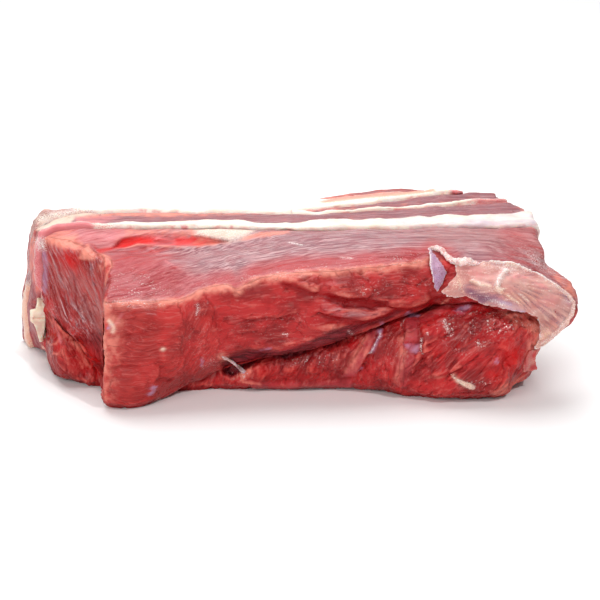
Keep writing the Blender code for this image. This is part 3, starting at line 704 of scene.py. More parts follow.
# Painted patches: (mark, outline, softness in pixels, strength, the pieces that take it).
PATCHES = {
    "bank_white": ("white", PALE_BANK, 5.0, 0.3, FRONT),
    "white_shiny_end": (
        "fat", ((36, 219), (70, 214), (95, 211), (108, 213), (75, 217), (72, 221), (76, 226), (72, 228),
        (37, 230)), 2.0, 0.85, MIDDLE,
    ),
    "middle_end_pink": (
        "pink", ((75, 217), (100, 215), (122, 217), (100, 224), (76, 224)), 2.0, 0.7, MIDDLE,
    ),
    "lilac_in_white": ("lilac", ((40, 224), (62, 221), (80, 224), (66, 229), (42, 230)), 2.5, 0.5, MIDDLE),
    "peach_middle": (
        "pale", ((76, 214), (110, 212), (175, 213), (270, 210), (270, 213), (175, 216.5), (110, 216),
        (80, 218)), 1.8, 0.7, MIDDLE,
    ),
    "crevice_pink": ("pink", ((152, 246), (156, 237), (172, 238), (180, 243), (170, 246)), 2.0, 0.75, FRONT),
    "crevice_peach": ("pale", ((190, 245), (200, 237), (228, 242), (215, 245)), 2.5, 0.8, FRONT),
    "bank_cream": ("fat", PALE_BANK, 5.0, PALE_BANK_STRENGTH, FRONT),
    "foot_left_glow": (
        "pale", ((103, 304), (122, 306), (122, 335), (117, 370), (112, 402), (103, 402)), 7.0, 0.3, FRONT,
    ),
    "bank_orange": (
        "pale", ((236, 241), (246, 236), (258, 232), (288, 231), (290, 233), (270, 236), (252, 239)), 2.0,
        0.85, FRONT,
    ),
    "bank_pink": (
        "pink", ((100, 236), (150, 231), (196, 232), (196, 237), (150, 235), (118, 241)), 4.0, 0.6, FRONT,
    ),
    "top_left_red": (
        "mauve", ((108, 258), (140, 246), (176, 270), (230, 280), (190, 296), (108, 300)), 12.0, 0.6, FRONT,
    ),
    "top_right_brown": (
        "brown", ((400, 222), (470, 215), (540, 212), (552, 240), (556, 262), (500, 258), (430, 244)), 14.0,
        0.3, FRONT,
    ),
    "right_shoulder": (
        "pale", ((548, 270), (556, 273), (570, 282), (577, 298), (570, 296), (560, 284)), 2.0, 0.6, FRONT,
    ),
    "outer_orange": ("pale", ((320, 194), (400, 194), (400, 204), (320, 203)), 4.0, 0.5, OUTER),
    "seam_end_pink": (
        "film", ((28, 226), (66, 222), (90, 222), (90, 234), (60, 240), (48, 252), (48, 300), (30, 300)),
        9.0, 1.0, SEAM,
    ),
    "lobe_a_red": (
        "red", ((29, 250), (38, 250), (41, 270), (42, 294), (34, 286), (29, 270)), 3.5, 0.4, SEAM,
    ),
    "lobe_a_white": ("white", ((34, 238), (44, 237), (46, 250), (38, 251)), 3.0, 0.6, SEAM + MIDDLE + FRONT),
    "lobe_a_lilac": (
        "lilac", ((39, 251), (47, 250), (48, 280), (46, 294), (41, 290)), 2.0, 0.5, SEAM + FRONT,
    ),
    "seam_end_low": ("red", ((36, 338), (48, 338), (50, 372), (34, 372)), 2.0, 1.0, SEAM),
    "layer_end_red": ("pale", ((26, 232), (36, 232), (38, 286), (30, 278)), 3.0, 0.5, MIDDLE),
    "rim_high_film": (
        "brown", ((18, 214), (40, 206), (62, 205), (92, 212), (62, 214), (40, 218), (36, 236), (34, 284),
        (18, 284)), 6.0, 0.9, BACK_FAT,
    ),
    "rim_crest_peach": ("peach", ((36, 206), (54, 204), (56, 208), (40, 210)), 2.5, 0.8, BACK_FAT),
    "lobe_a_left_deep": (
        "red", ((31, 254), (35, 252), (40, 266), (40, 290), (36, 286), (32, 270)), 2.5, 0.35, BACK_FAT,
    ),
    "rim_grey": ("dusk", ((22, 236), (30, 236), (29, 262), (32, 288), (24, 286)), 2.0, 0.65, BACK_FAT),
    "thin_seam_end": ("film", ((466, 192), (530, 190), (530, 216), (478, 212)), 7.0, 0.85, THIN_SEAM),
    "back_fat_tip": ("film", ((449, 186), (480, 186), (480, 202), (453, 200)), 3.0, 0.95, BACK_FAT),
    "outer_strip": (
        "peach", ((318, 202), (345, 195), (383, 187), (431, 186), (437, 191.5), (400, 195.5), (360, 199),
        (325, 203)), 1.0, 1.0, BACK_FAT,
    ),
    "outer_strip_pink": (
        "film", ((322, 201), (350, 194), (385, 187), (420, 186), (424, 190.5), (395, 194), (355, 198)), 1.2,
        0.55, BACK_FAT,
    ),
    "seam_fade": ("film", ((56, 218), (112, 221), (112, 232), (56, 236)), 13.0, 0.62, SEAM),
    "seam_right_grey": (
        "lilac", ((400, 220), (480, 212), (540, 206), (544, 232), (480, 232), (400, 230)), 12.0, 0.28, SEAM,
    ),
    "rim_low_peach": ("peach", ((18, 284), (36, 284), (38, 356), (18, 352)), 4.0, 0.85, BACK_FAT),
    "rim_low_red": ("red", ((29, 296), (34, 298), (36, 330), (33, 350), (29, 325)), 3.0, 0.4, BACK_FAT),
    "top_left_film": (
        "pink", ((62, 229), (95, 229), (128, 230), (122, 240), (112, 247), (95, 246), (75, 240), (60, 237)),
        5.0, 0.6, FRONT,
    ),
    "peach_lip": (
        "pale", ((44, 232), (70, 231), (80, 240), (84, 252), (70, 248), (46, 242)), 6.0, 0.75, FRONT,
    ),
    "tab_peach": (
        "pale", ((79, 258), (83, 250), (88, 243), (93, 250), (97, 257), (95, 260), (87, 260)), 2.0, 0.9,
        FRONT,
    ),
    "slit_beside_tab": ("blood", ((93, 245), (98, 249), (115, 246), (112, 250), (99, 254)), 1.5, 0.7, FRONT),
    "knob_red": ("blood", ((97, 387), (103, 384), (106, 400), (99, 405)), 3.0, 0.45, FRONT + LOWER),
    "end_brown": (
        "brown", ((47, 262), (58, 282), (70, 300), (86, 318), (96, 330), (102, 340), (102, 300), (96, 280),
        (84, 268), (60, 262)), 6.0, 0.3, FRONT,
    ),
    # Painted shade in the pocket at the left end.
    "end_pocket_shade": (
        "deep", ((48, 328), (53, 324), (58, 332), (57, 341), (52, 344), (47, 340)), 1.5, 0.7, LOWER + FRONT,
    ),
    "end_low_shade": ("shade", ((76, 340), (103, 330), (103, 384), (89, 362)), 4.0, 0.75, FRONT),
    "strand_pocket": ("shade", STRAND_POCKET, 2.5, 0.95, FRONT + LOWER),
    "lobe_a_left": (
        "pink", ((29, 246), (36, 243), (41, 262), (41, 293), (35, 290), (31, 270)), 2.5, 1.0,
        MIDDLE + BACK + OUTER + THIN_SEAM,
    ),
    "lobe_a_left_red": (
        "mauve", ((32, 250), (36, 248), (41, 264), (41, 290), (36, 286), (33, 270)), 2.5, 0.5,
        MIDDLE + BACK + OUTER,
    ),
    "lobe_a_left_fat": (
        "film", ((29, 247), (36, 242), (41, 262), (41, 293), (35, 290), (30, 270)), 1.5, 1.0, BACK_FAT,
    ),
    "underside": ("shade", UNDERSIDE, 1.8, 0.95, FRONT + LOWER),
    "band_one_mauve": ("mauve", BANDS["band_one"], 1.6, 0.85, LOWER),
    # Painted shade where the first band meets the crease.
    "band_one_shade": (
        "shade", ((367, 322), (383, 320), (381, 332), (374, 345), (370, 336)), 2.0, 0.5, LOWER,
    ),
    # Pale below the silverskin's lower edge: partly the meat's paler colour, partly painted light that lifts
    # the sheet's shadow.
    "under_sheet_pale_and_light": (
        "pale", ((495, 306), (525, 311), (541, 320), (543, 332), (530, 330), (512, 322)), 4.0, 0.6, LOWER,
    ),
    "lobe_right_pale": (
        "pale", ((530, 326), (543, 324), (545, 345), (540, 365), (524, 376), (527, 352)), 4.0, 0.5, LOWER,
    ),
    "lobe_base_pale": (
        "pale", ((490, 392), (505, 384), (524, 374), (526, 380), (512, 392), (495, 399)), 3.0, 0.5, LOWER,
    ),
    "film_edge_white": (
        "white", ((528, 252), (546, 262), (556, 272), (548, 274), (532, 264)), 4.0, 0.3, FRONT,
    ),
    "band_two_mauve": ("mauve", BANDS["band_two_high"], 1.8, 0.8, LOWER),
    "band_two_soft": ("mauve", BANDS["band_two_low"], 2.2, 0.45, LOWER),
    "shelf_mauve": ("mauve", BANDS["shelf_one"], 1.5, 0.6, LOWER),
    "low_fold_pale": ("mauve", BANDS["low_fold"], 2.0, 0.5, LOWER),
    # Painted shade under the end of the main crease.
    "purple_pocket_shade": ("shade", ((400, 311), (420, 310), (424, 314), (405, 317)), 1.5, 0.6, LOWER),
    "smooth_lobe": (
        "film", ((322, 296), (337, 301), (355, 302), (385, 305), (392, 308), (374, 316), (350, 318),
        (335, 317), (324, 311)), 3.0, 0.28, FRONT,
    ),
}
# Painted dabs: (mark, centre, radii in pixels, turn in degrees, strength).
DABS = {
    "end_red_spot": ("blood", (70, 261), (13, 10), 35, 0.85),
    "end_orange": ("pale", (104, 264), (7, 9), 0, 0.5),
    "end_red_lobe": ("blood", (50, 304), (7, 9), -20, 0.6),
    "end_lobe_glint": ("sparkle", (54, 308), (4, 6), 0, 0.9),
    "end_shoulder": ("pale", (60, 244), (18, 6), 8, 0.5),
    "end_shoulder_pink": ("pink", (58, 243), (18, 7), 8, 0.5),
    "end_crevice": ("blood", (94, 362), (9, 22), -20, 0.9),
    "foot_white_spot": ("fat", (163, 349), (3, 2.2), 0, 0.75),
    "foot_blood": ("blood", (208, 321), (13, 8), 0, 0.25),
    "knot_beside_strand": ("pale", (224, 358), (7, 5), 20, 0.7),
    "panel_shade": ("deep", (166, 381), (13, 1.6), -4, 0.8),
    "foot_small_triangle": ("blood", (106, 325), (2.5, 5), 0, 0.8),
    "right_red_top": ("blood", (515, 236), (24, 10), 20, 0.22),
    "lower_right_red": ("blood", (505, 372), (26, 16), -40, 0.45),
    "lower_mid_red": ("blood", (262, 372), (18, 8), 0, 0.5),
    "lower_left_red": ("blood", (300, 372), (30, 7), 0, 0.3),
    "vein_inner": ("blood", (53, 333), (5, 8), 0, 0.6),
    "triangle_under_flap": ("blood", (446, 264), (6, 9), -20, 0.5),
    # The sparkle dabs mark where painted glints go.
    "top_speckle": ("sparkle", (136, 287), (34, 18), 0, 0.75),
    "rim_speckle": ("sparkle", (300, 271), (110, 6), -8, 0.55),
    "rim_speckle_right": ("sparkle", (402, 261), (28, 7), -10, 0.8),
    "rim_speckle_left": ("sparkle", (135, 303), (34, 4), 0, 0.9),
    "film_speckle": ("sparkle", (530, 252), (20, 8), 25, 0.7),
    "speckle_under_sheet": ("sparkle", (508, 320), (36, 10), 8, 1.0),
    "speckle_left_bump": ("sparkle", (446, 326), (11, 17), -30, 1.0),
    "speckle_pair": ("sparkle", (461, 347), (12, 7), 20, 1.0),
    "speckle_middle": ("sparkle", (477, 343), (12, 6), 0, 1.0),
    "speckle_line": ("sparkle", (474, 331), (12, 4), 0, 0.8),
    "speckle_lilac": ("sparkle", (465, 310), (12, 5), -20, 0.9),
    "lilac_glimmer": ("lilac", (463, 309), (9, 4), -25, 0.6),
    "speckle_low": ("sparkle", (480, 384), (18, 7), 0, 0.6),
    "speckle_high": ("sparkle", (490, 326), (26, 10), 10, 0.8),
    "speckle_hollow": ("sparkle", (208, 363), (12, 8), 0, 0.8),
    "speckle_pocket": ("sparkle", (240, 375), (12, 7), 0, 0.7),
    "speckle_strands": ("sparkle", (196, 340), (14, 34), 15, 0.15),
    "speckle_face": ("sparkle", (280, 325), (70, 24), 0, 0.15),
    "speckle_face_right": ("sparkle", (385, 288), (60, 16), -6, 0.22),
    "speckle_bands": ("sparkle", (392, 350), (36, 28), 0, 0.2),
    "speckle_bush_a": ("sparkle", (287, 361), (9, 5), -5, 1.0),
    "speckle_bush_b": ("sparkle", (312, 361), (16, 6), -5, 1.0),
    "speckle_bush_c": ("sparkle", (330, 360), (8, 6), 0, 1.0),
    "speckle_bush_d": ("sparkle", (353, 342), (6, 4), 0, 0.9),
    "speckle_bush_e": ("sparkle", (279, 372), (5, 4), 0, 0.8),
    "glint_high": ("sparkle", (368, 291), (9, 4), 0, 0.7),
    "right_red_wet": ("blood", (512, 350), (12, 15), -50, 0.75),
    "low_red_wet": ("blood", (492, 375), (9, 12), -50, 0.6),
    # The deep dabs below are painted shade in slits, under fold lips and at the ends of creases.
    "slit_shade": ("deep", (334, 297), (15, 3.0), 17, 1.0),
    "slit_shade_low": ("deep", (338, 318), (18, 2.0), 8, 0.9),
    "lip_shade": ("deep", (292, 286), (14, 2.5), 12, 0.7),
    "crease_end_dark": ("deep", (402, 304), (16, 3), -3, 0.8),
    "lobe_shade_line": ("deep", (430, 303), (14, 3.0), -22, 0.8),
}


# ---------------------------------------------------------------- materials

def tone(red, green, blue):
    """A screen colour, from 0 to 255, as the linear colour that Blender mixes."""
    linear = [c / 255 / 12.92 if c <= 10 else ((c / 255 + 0.055) / 1.055) ** 2.4 for c in (red, green, blue)]
    return (*linear, 1.0)


def new_group(name, inputs, outputs):
    """An empty node group. inputs maps names to numbers, or to None for a vector. outputs are names."""
    group = bpy.data.node_groups.new(name, "ShaderNodeTree")
    for label, value in inputs.items():
        kind = "NodeSocketVector" if value is None else "NodeSocketFloat"
        socket = group.interface.new_socket(label, in_out="INPUT", socket_type=kind)
        if value is not None:
            socket.default_value = value
    for label in outputs:
        group.interface.new_socket(label, in_out="OUTPUT", socket_type="NodeSocketFloat")
    return group, group.nodes.new("NodeGroupInput").outputs, group.nodes.new("NodeGroupOutput").inputs


def add(tree, kind, label=None, **settings):
    node = tree.nodes.new(kind)
    if label:
        node.label = label
    for key, value in settings.items():
        setattr(node, key, value)
    return node


def feed(tree, socket, value):
    """Links a socket from another one, or sets it to a constant."""
    if hasattr(value, "is_output"):
        tree.links.new(value, socket)
    else:
        socket.default_value = value


def sums(tree, operation, first, second=None, clamp=False):
    """A Math node. Each of its values is a number or a socket."""
    node = add(tree, "ShaderNodeMath", operation=operation, use_clamp=clamp)
    feed(tree, node.inputs[0], first)
    if second is not None:
        feed(tree, node.inputs[1], second)
    return node.outputs[0]


def times(tree, first, *others, clamp=False):
    for other in others:
        first = sums(tree, "MULTIPLY", first, other, clamp)
    return first


def plus(tree, first, second, clamp=False):
    return sums(tree, "ADD", first, second, clamp)


def less(tree, first, second, clamp=False):
    """The first value without the second."""
    return sums(tree, "SUBTRACT", first, second, clamp)


def vectors(tree, operation, first, second):
    """A Vector Math node. Each of its values is a tuple or a socket."""
    node = add(tree, "ShaderNodeVectorMath", operation=operation)
    feed(tree, node.inputs[0], first)
    feed(tree, node.inputs[1], second)
    return node.outputs[0]


def noise_at(tree, label, where, **settings):
    """A noise texture, with the settings named as its sockets are."""
    node = add(tree, "ShaderNodeTexNoise", label)
    tree.links.new(where, node.inputs["Vector"])
    for name, value in settings.items():
        feed(tree, node.inputs[name], value)
    return node.outputs


def blend_colour(tree, share, under, over, how="MIX"):
    """A colour mix. Each colour is a tuple or a socket, and share a number or a socket."""
    node = add(tree, "ShaderNodeMix", data_type="RGBA", blend_type=how)
    for socket, value in ((node.inputs[0], share), (node.inputs[6], under), (node.inputs[7], over)):
        feed(tree, socket, value)
    return node.outputs[2]


def stretch(tree, value, low, high, to_low=0.0, to_high=1.0):
    node = add(tree, "ShaderNodeMapRange", interpolation_type="SMOOTHSTEP")
    tree.links.new(value, node.inputs["Value"])
    for name, number in (("From Min", low), ("From Max", high), ("To Min", to_low), ("To Max", to_high)):
        node.inputs[name].default_value = number
    return node.outputs["Result"]


def mark_of(tree, name):
    """A painted mark of the piece, as a value."""
    return add(tree, "ShaderNodeAttribute", name, attribute_name=name).outputs["Fac"]


def lay_of(tree):
    """The lay of the piece's fibres, as a vector: along, across and into the meat."""
    return add(tree, "ShaderNodeAttribute", "lay", attribute_name="lay").outputs["Vector"]


def drawn_out(tree, lay, length, width):
    """The lay of the meat, scaled so that noise on it has waves of this length and width."""
    size = add(tree, "ShaderNodeCombineXYZ")
    across = sums(tree, "DIVIDE", 1.0, width)
    for socket, value in zip(size.inputs, (sums(tree, "DIVIDE", 1.0, length), across, across)):
        tree.links.new(value, socket)
    return vectors(tree, "MULTIPLY", lay, size.outputs[0])


def make_fibre_group():
    """Fine muscle fibres: noise drawn out along the lay of the meat."""
    inputs = {"Lay": None, "Width": 1.0, "Length": 14.0, "Waver": 0.6, "Contrast": 0.5}
    group, given, out = new_group("meat fibres", inputs, ["Fibres", "Strands"])
    contrast = given["Contrast"]
    wobble = noise_at(group, "slow waver of the fibres", given["Lay"], Scale=0.11, Detail=1.0)
    pushed = add(group, "ShaderNodeVectorMath", operation="SCALE")
    feed(group, pushed.inputs[0], vectors(group, "SUBTRACT", wobble["Color"], (0.5, 0.5, 0.5)))
    feed(group, pushed.inputs["Scale"], times(group, given["Waver"], 8.0))
    moved = vectors(group, "ADD", given["Lay"], pushed.outputs[0])
    for name, label, wider in (("Fibres", "fine fibres", 1.0), ("Strands", "strands", 3.2)):
        length, width = times(group, given["Length"], wider ** 0.5), times(group, given["Width"], wider)
        drawn = drawn_out(group, moved, length, width)
        noise = noise_at(group, label, drawn, Scale=1.0, Detail=2.5, Roughness=0.6)["Fac"]
        low = less(group, 0.5, times(group, contrast, 0.25))
        value = sums(group, "DIVIDE", less(group, noise, low), times(group, contrast, 0.5), clamp=True)
        group.links.new(value, out[name])
    return group


def make_mottle_group():
    """Soft cloudy patches, with finer speckle in them."""
    group, given, out = new_group("mottle", {"Size": 8.0, "Seed": 0.0}, ["Patches", "Speckle"])
    apart = vectors(group, "ADD", add(group, "ShaderNodeTexCoord").outputs["Object"], given["Seed"])
    scale = sums(group, "DIVIDE", 1000.0, given["Size"])
    cloudy = noise_at(group, "patches", apart, Scale=scale, Detail=3.0)
    group.links.new(stretch(group, cloudy["Fac"], 0.32, 0.68), out["Patches"])
    scale = sums(group, "DIVIDE", 9000.0, given["Size"])
    fine = noise_at(group, "speckle", apart, Scale=scale, Detail=2.0)
    group.links.new(stretch(group, fine["Fac"], 0.4, 0.7), out["Speckle"])
    return group


def make_ragged_group():
    """A painted mark with its soft border broken up, as fat and film end in torn patches."""
    inputs = {"Mark": 0.0, "Noise": 0.5, "Raggedness": 0.5}
    group, given, out = new_group("ragged mark", inputs, ["Mark"])
    mark = given["Mark"]
    shift = times(group, less(group, given["Noise"], 0.5), given["Raggedness"])
    border = times(group, mark, less(group, 1.0, mark))
    group.links.new(plus(group, mark, times(group, border, 4.0, shift), clamp=True), out["Mark"])
    return group


def make_crease_group():
    """Short thin folds that wander along the lay of the meat."""
    inputs = {"Lay": None, "Width": 5.0, "Length": 12.0, "Seed": 0.0}
    group, given, out = new_group("small creases", inputs, ["Creases"])
    drawn = drawn_out(group, given["Lay"], given["Length"], given["Width"])
    apart = vectors(group, "ADD", drawn, given["Seed"])
    folds = noise_at(group, "folds", apart, Scale=1.0, Detail=1.6, Distortion=0.5)
    line = stretch(group, sums(group, "ABSOLUTE", less(group, folds["Fac"], 0.5)), 0.042, 0.004)
    shifted = vectors(group, "ADD", apart, (7.0, 3.0, 5.0))
    places = noise_at(group, "where the folds show", shifted, Scale=0.7, Detail=1.0)
    group.links.new(times(group, line, stretch(group, places["Fac"], 0.44, 0.58)), out["Creases"])
    return group


def placed(tree, group, label, **values):
    """Puts a group in a material, and gives its outputs. Each value is a number or a socket."""
    node = add(tree, "ShaderNodeGroup", label)
    node.node_tree = group
    for name, value in values.items():
        feed(tree, node.inputs[name], value)
    return node.outputs


def torn_over(tree, ragged_group, mark, under, colour, noise, raggedness, amount=1.0):
    """Lays a colour over what is under it where a mark is painted. Noise tears the mark's border."""
    painted = mark_of(tree, mark)
    torn = placed(tree, ragged_group, f"torn {mark}", Mark=painted, Noise=noise, Raggedness=raggedness)
    return blend_colour(tree, times(tree, torn["Mark"], amount), under, colour)


def start_material(name, subsurface, scale, radius, coat_roughness):
    material = bpy.data.materials.new(name)
    material.use_nodes = True
    tree = material.node_tree
    surface = tree.nodes["Principled BSDF"]
    surface.inputs["Metallic"].default_value = 0.0
    surface.inputs["Subsurface Weight"].default_value = subsurface
    surface.inputs["Subsurface Scale"].default_value = scale * MM
    surface.inputs["Subsurface Radius"].default_value = radius
    surface.inputs["Coat Roughness"].default_value = coat_roughness
    surface.inputs["Coat IOR"].default_value = 1.4
    surface.inputs["IOR"].default_value = 1.38
    surface.inputs["Specular IOR Level"].default_value = 0.32
    return material, tree, surface


def bumped(tree, surface, heights, strength, distance):
    """Adds the heights, each (socket, share), into one bump."""
    total = None
    for socket, share in heights:
        part = times(tree, socket, share)
        total = part if total is None else plus(tree, total, part)
    bump = add(tree, "ShaderNodeBump")
    bump.inputs["Strength"].default_value = strength
    bump.inputs["Distance"].default_value = distance * MM
    tree.links.new(total, bump.inputs["Height"])
    tree.links.new(bump.outputs[0], surface.inputs["Normal"])


def lean_material(groups, name, reds, film, rim, width, length, seed):
    """Raw lean: red flesh, drawn in fibres, with a grey-pink film, pale rims and fatty strands, and wet
    creases. On rims and bulges the pale is a painted highlight; creases and hollows take painted shade, and
    the sparkle mark painted glints.
    """
    fibre_group, mottle_group, ragged_group, crease_group = groups
    deep, middle, bright = (tone(*red) for red in reds)
    material, tree, surface = start_material(name, 0.14, 1.5, (1.0, 0.25, 0.18), 0.14)
    lay = lay_of(tree)
    grain = mark_of(tree, "grain")
    waver = less(tree, 0.42, times(tree, grain, 0.34))
    drawn = placed(
        tree, fibre_group, "fibres", Lay=lay, Width=width, Length=length, Waver=waver, Contrast=0.75
    )
    fibres, strands = drawn["Fibres"], drawn["Strands"]
    folds = placed(tree, crease_group, "creases", Lay=lay, Width=5.0, Length=12.0, Seed=seed + 2.5)
    clouds = placed(tree, mottle_group, "clouds", Size=13.0, Seed=seed)["Patches"]
    close = placed(tree, mottle_group, "close clouds", Size=4.0, Seed=seed + 3)
    glitter = placed(tree, mottle_group, "glitter", Size=6.5, Seed=seed + 31)["Speckle"]
    flesh = blend_colour(tree, stretch(tree, clouds, 0.1, 0.9), deep, middle)
    # Painted shade in the valleys and painted highlight on the ridges.
    flesh = blend_colour(tree, stretch(tree, mark_of(tree, "valley_shade"), 0, 1, 0, 0.7), flesh, deep)
    flesh = blend_colour(tree, stretch(tree, mark_of(tree, "ridge"), 0, 1, 0, 0.5), flesh, bright)
    flesh = blend_colour(tree, times(tree, strands, times(tree, grain, 0.5)), flesh, bright)
    flesh = blend_colour(tree, times(tree, fibres, times(tree, grain, 0.3)), flesh, bright)
    flesh = blend_colour(tree, stretch(tree, fibres, 0.7, 1.0, 0.0, 0.16), flesh, THREAD_PINK)
    dark_hairs = times(tree, stretch(tree, fibres, 0.3, 0.0, 0.0, 0.75), grain)
    flesh = blend_colour(tree, dark_hairs, flesh, deep)

    def over(mark, under, colour, amount=1.0, raggedness=0.6, noise=strands):
        return torn_over(tree, ragged_group, mark, under, colour, noise, raggedness, amount)

    filmy = blend_colour(tree, stretch(tree, fibres, 0.1, 0.9), film[0], film[1])
    filmy = blend_colour(tree, stretch(tree, strands, 0.75, 0.1, 0.0, 0.35), filmy, film[0])
    filmy = blend_colour(tree, times(tree, close["Patches"], 0.3), filmy, film[2])
    filmy = blend_colour(tree, times(tree, clouds, 0.3), filmy, film[3])
    shown = over("film", flesh, filmy, raggedness=1.0)
    shown = over("mauve", shown, MAUVE)
    shown = over("brown", shown, BROWN_FILM)
    shown = over("pink", shown, FILM_PINK, 0.85)
    shown = over("pale", shown, rim, noise=close["Patches"])
    threads = placed(tree, crease_group, "pale threads", Lay=lay, Width=2.2, Length=26.0, Seed=seed + 11.5)
    clear = less(tree, 1.0, mark_of(tree, "film"), clamp=True)
    shown = blend_colour(tree, times(tree, threads["Creases"], clear, 0.13), shown, THREAD_PINK)
    lines = times(tree, folds["Creases"], less(tree, 1.0, mark_of(tree, "film")), clamp=True)
    # The small creases are pressed in by the bump and painted darker, as shade.
    shown = blend_colour(tree, times(tree, lines, 0.29), shown, deep)
    shaded = blend_colour(tree, stretch(tree, fibres, 0.3, 0.7), SHADE_DARK, SHADE_LIGHT)
    shown = over("shade", shown, shaded, 0.9, 0.4)
    # Painted shade in hollows: the deep red, darker still, where the hollow mark is.
    hollow_shade = blend_colour(tree, 1.0, deep, HOLLOW_SHADE_TINT, "MULTIPLY")
    shown = over("hollow", shown, hollow_shade, 0.8, 0.4, close["Patches"])
    # Painted shade in creases, slits, gaps and pockets.
    shown = over("deep", shown, DEEP_SHADE_RED)
    shown = over("blood", shown, BLOOD_RED)
    # A painted red glow in the crevice and in shaded gaps.
    shown = over("glow", shown, GLOW_RED)
    # Lilac membranes, and painted glints and reflections where the lilac marks them.
    shown = over("lilac", shown, LILAC, 0.75, 0.9)
    shown = over("fat", shown, FAT_CREAM, 1.0, 0.3, close["Patches"])
    # White film, strands and edges, and painted glints and highlights.
    shown = over("white", shown, WHITE_FILM_AND_GLINT, 1.0, 0.8, close["Speckle"])
    # Painted glints: pale specks in the colour where the sparkle mark is.
    sparkle = mark_of(tree, "sparkle")
    specks = times(tree, stretch(tree, glitter, 0.57, 0.78), stretch(tree, close["Patches"], 0.3, 0.6))
    specks = times(tree, specks, stretch(tree, fibres, 0.36, 0.56))
    shown = blend_colour(tree, times(tree, specks, sparkle, 0.75), shown, GLINT)
    tree.links.new(shown, surface.inputs["Base Color"])
    wet = mark_of(tree, "wet")
    dry = stretch(tree, close["Patches"], 0.0, 1.0, 0.38, 0.52)
    slick = less(tree, dry, times(tree, wet, 0.2))
    slick = less(tree, slick, times(tree, sparkle, 0.12))
    sunken = times(tree, mark_of(tree, "hollow"), 0.3)
    tree.links.new(plus(tree, slick, sunken), surface.inputs["Roughness"])
    sunk = plus(tree, mark_of(tree, "hollow"), mark_of(tree, "shade"), clamp=True)
    open_to_light = less(tree, 1.0, times(tree, sunk, 0.85))
    glossy = plus(tree, times(tree, wet, 0.24), times(tree, sparkle, 0.5), clamp=True)
    tree.links.new(times(tree, glossy, open_to_light), surface.inputs["Coat Weight"])
    beads = times(tree, specks, plus(tree, times(tree, sparkle, 1.4), 0.05))
    coarse_grain = plus(tree, times(tree, grain, 0.7), 0.3)
    heights = (
        (times(tree, fibres, coarse_grain), 0.42), (times(tree, strands, coarse_grain), 0.6),
        (close["Speckle"], 0.22), (beads, 1.0), (lines, -0.75),
    )
    bumped(tree, surface, heights, 0.75, 0.4)
    return material


def fat_material(groups, name, tones, seed, subsurface):
    """Fat: cream to white, a little pink where it is thin, with small grains and a soft greasy shine."""
    fibre_group, mottle_group, ragged_group, _ = groups
    white, cream, peach = (tone(*fat) for fat in tones)
    material, tree, surface = start_material(name, subsurface, 2.5, (1.0, 0.6, 0.42), 0.2)
    threads = placed(
        tree, fibre_group, "threads", Lay=lay_of(tree), Width=1.2, Length=12.0, Waver=0.4, Contrast=0.8
    )
    clouds = placed(tree, mottle_group, "clouds", Size=9.0, Seed=seed)
    close = placed(tree, mottle_group, "grains", Size=3.5, Seed=seed + 5)
    strands, grains = threads["Strands"], close["Speckle"]
    shown = blend_colour(tree, clouds["Patches"], cream, white)
    shown = blend_colour(tree, times(tree, threads["Fibres"], 0.25), shown, peach)
    painted = (
        ("pink", MARBLING_PINK, close["Patches"], 1.2), ("blood", BLOOD_RED, strands, 0.8),
        ("lilac", LILAC, strands, 0.9), ("brown", BROWN_FILM, grains, 0.8),
        ("dusk", DUSK_LILAC, grains, 0.8), ("peach", FAT_PEACH, grains, 0.8),
        ("cream", FAT_CREAM, grains, 0.8), ("film", FILM_PINK, grains, 0.8),
        ("red", END_RED, grains, 0.8), ("white", WHITE_FILM_AND_GLINT, grains, 0.8),
    )
    for mark, colour, noise, raggedness in painted:
        shown = torn_over(tree, ragged_group, mark, shown, colour, noise, raggedness)
    tree.links.new(shown, surface.inputs["Base Color"])
    tree.links.new(stretch(tree, close["Patches"], 0, 1, 0.34, 0.52), surface.inputs["Roughness"])
    surface.inputs["Coat Weight"].default_value = 0.15
    bumped(tree, surface, ((threads["Fibres"], 0.35), (grains, 0.6)), 0.45, 0.35)
    return material


BLOOD_RED = tone(200, 18, 18)
# Painted shade in creases, slits, gaps and pockets.
DEEP_SHADE_RED = tone(142, 4, 10)
# A painted red glow in the crevice and in the gap under the lobe's edge.
GLOW_RED = tone(238, 50, 48)
THREAD_PINK = tone(232, 150, 142)
LILAC = tone(184, 148, 182)
DUSK_LILAC = tone(138, 88, 110)
FAT_CREAM = tone(244, 220, 198)
FAT_PEACH = tone(232, 176, 152)
# White film and tissue, and the white of painted glints and highlights.
WHITE_FILM_AND_GLINT = tone(252, 242, 238)
FILM_PINK = tone(222, 130, 134)
END_RED = tone(190, 60, 62)
MAUVE = tone(180, 58, 66)
BROWN_FILM = tone(172, 112, 108)
# Painted shade under overhangs and in pockets: its darkest and its lightest tone.
SHADE_DARK = tone(64, 6, 16)
SHADE_LIGHT = tone(126, 30, 40)
# The colour of painted glints.
GLINT = tone(255, 236, 232)
MARBLING_PINK = tone(226, 150, 148)
# The pale of each lean: pale strands and fat, and on rims and bulges a painted highlight.
RIM_PEACH = tone(236, 146, 128)
LOWER_RIM = tone(230, 128, 112)
# What the deep red is multiplied by for the painted shade in a hollow.
HOLLOW_SHADE_TINT = (0.78, 0.5, 0.52, 1)
# A film on the lean: its dark and its pale fibres, and the tones of its small and its wide clouds.
GREY_FILM = (tone(124, 68, 78), tone(210, 172, 173), tone(176, 92, 100), tone(156, 106, 114))
MAUVE_FILM = (tone(126, 78, 86), tone(178, 130, 133), tone(150, 74, 80), tone(156, 110, 116))
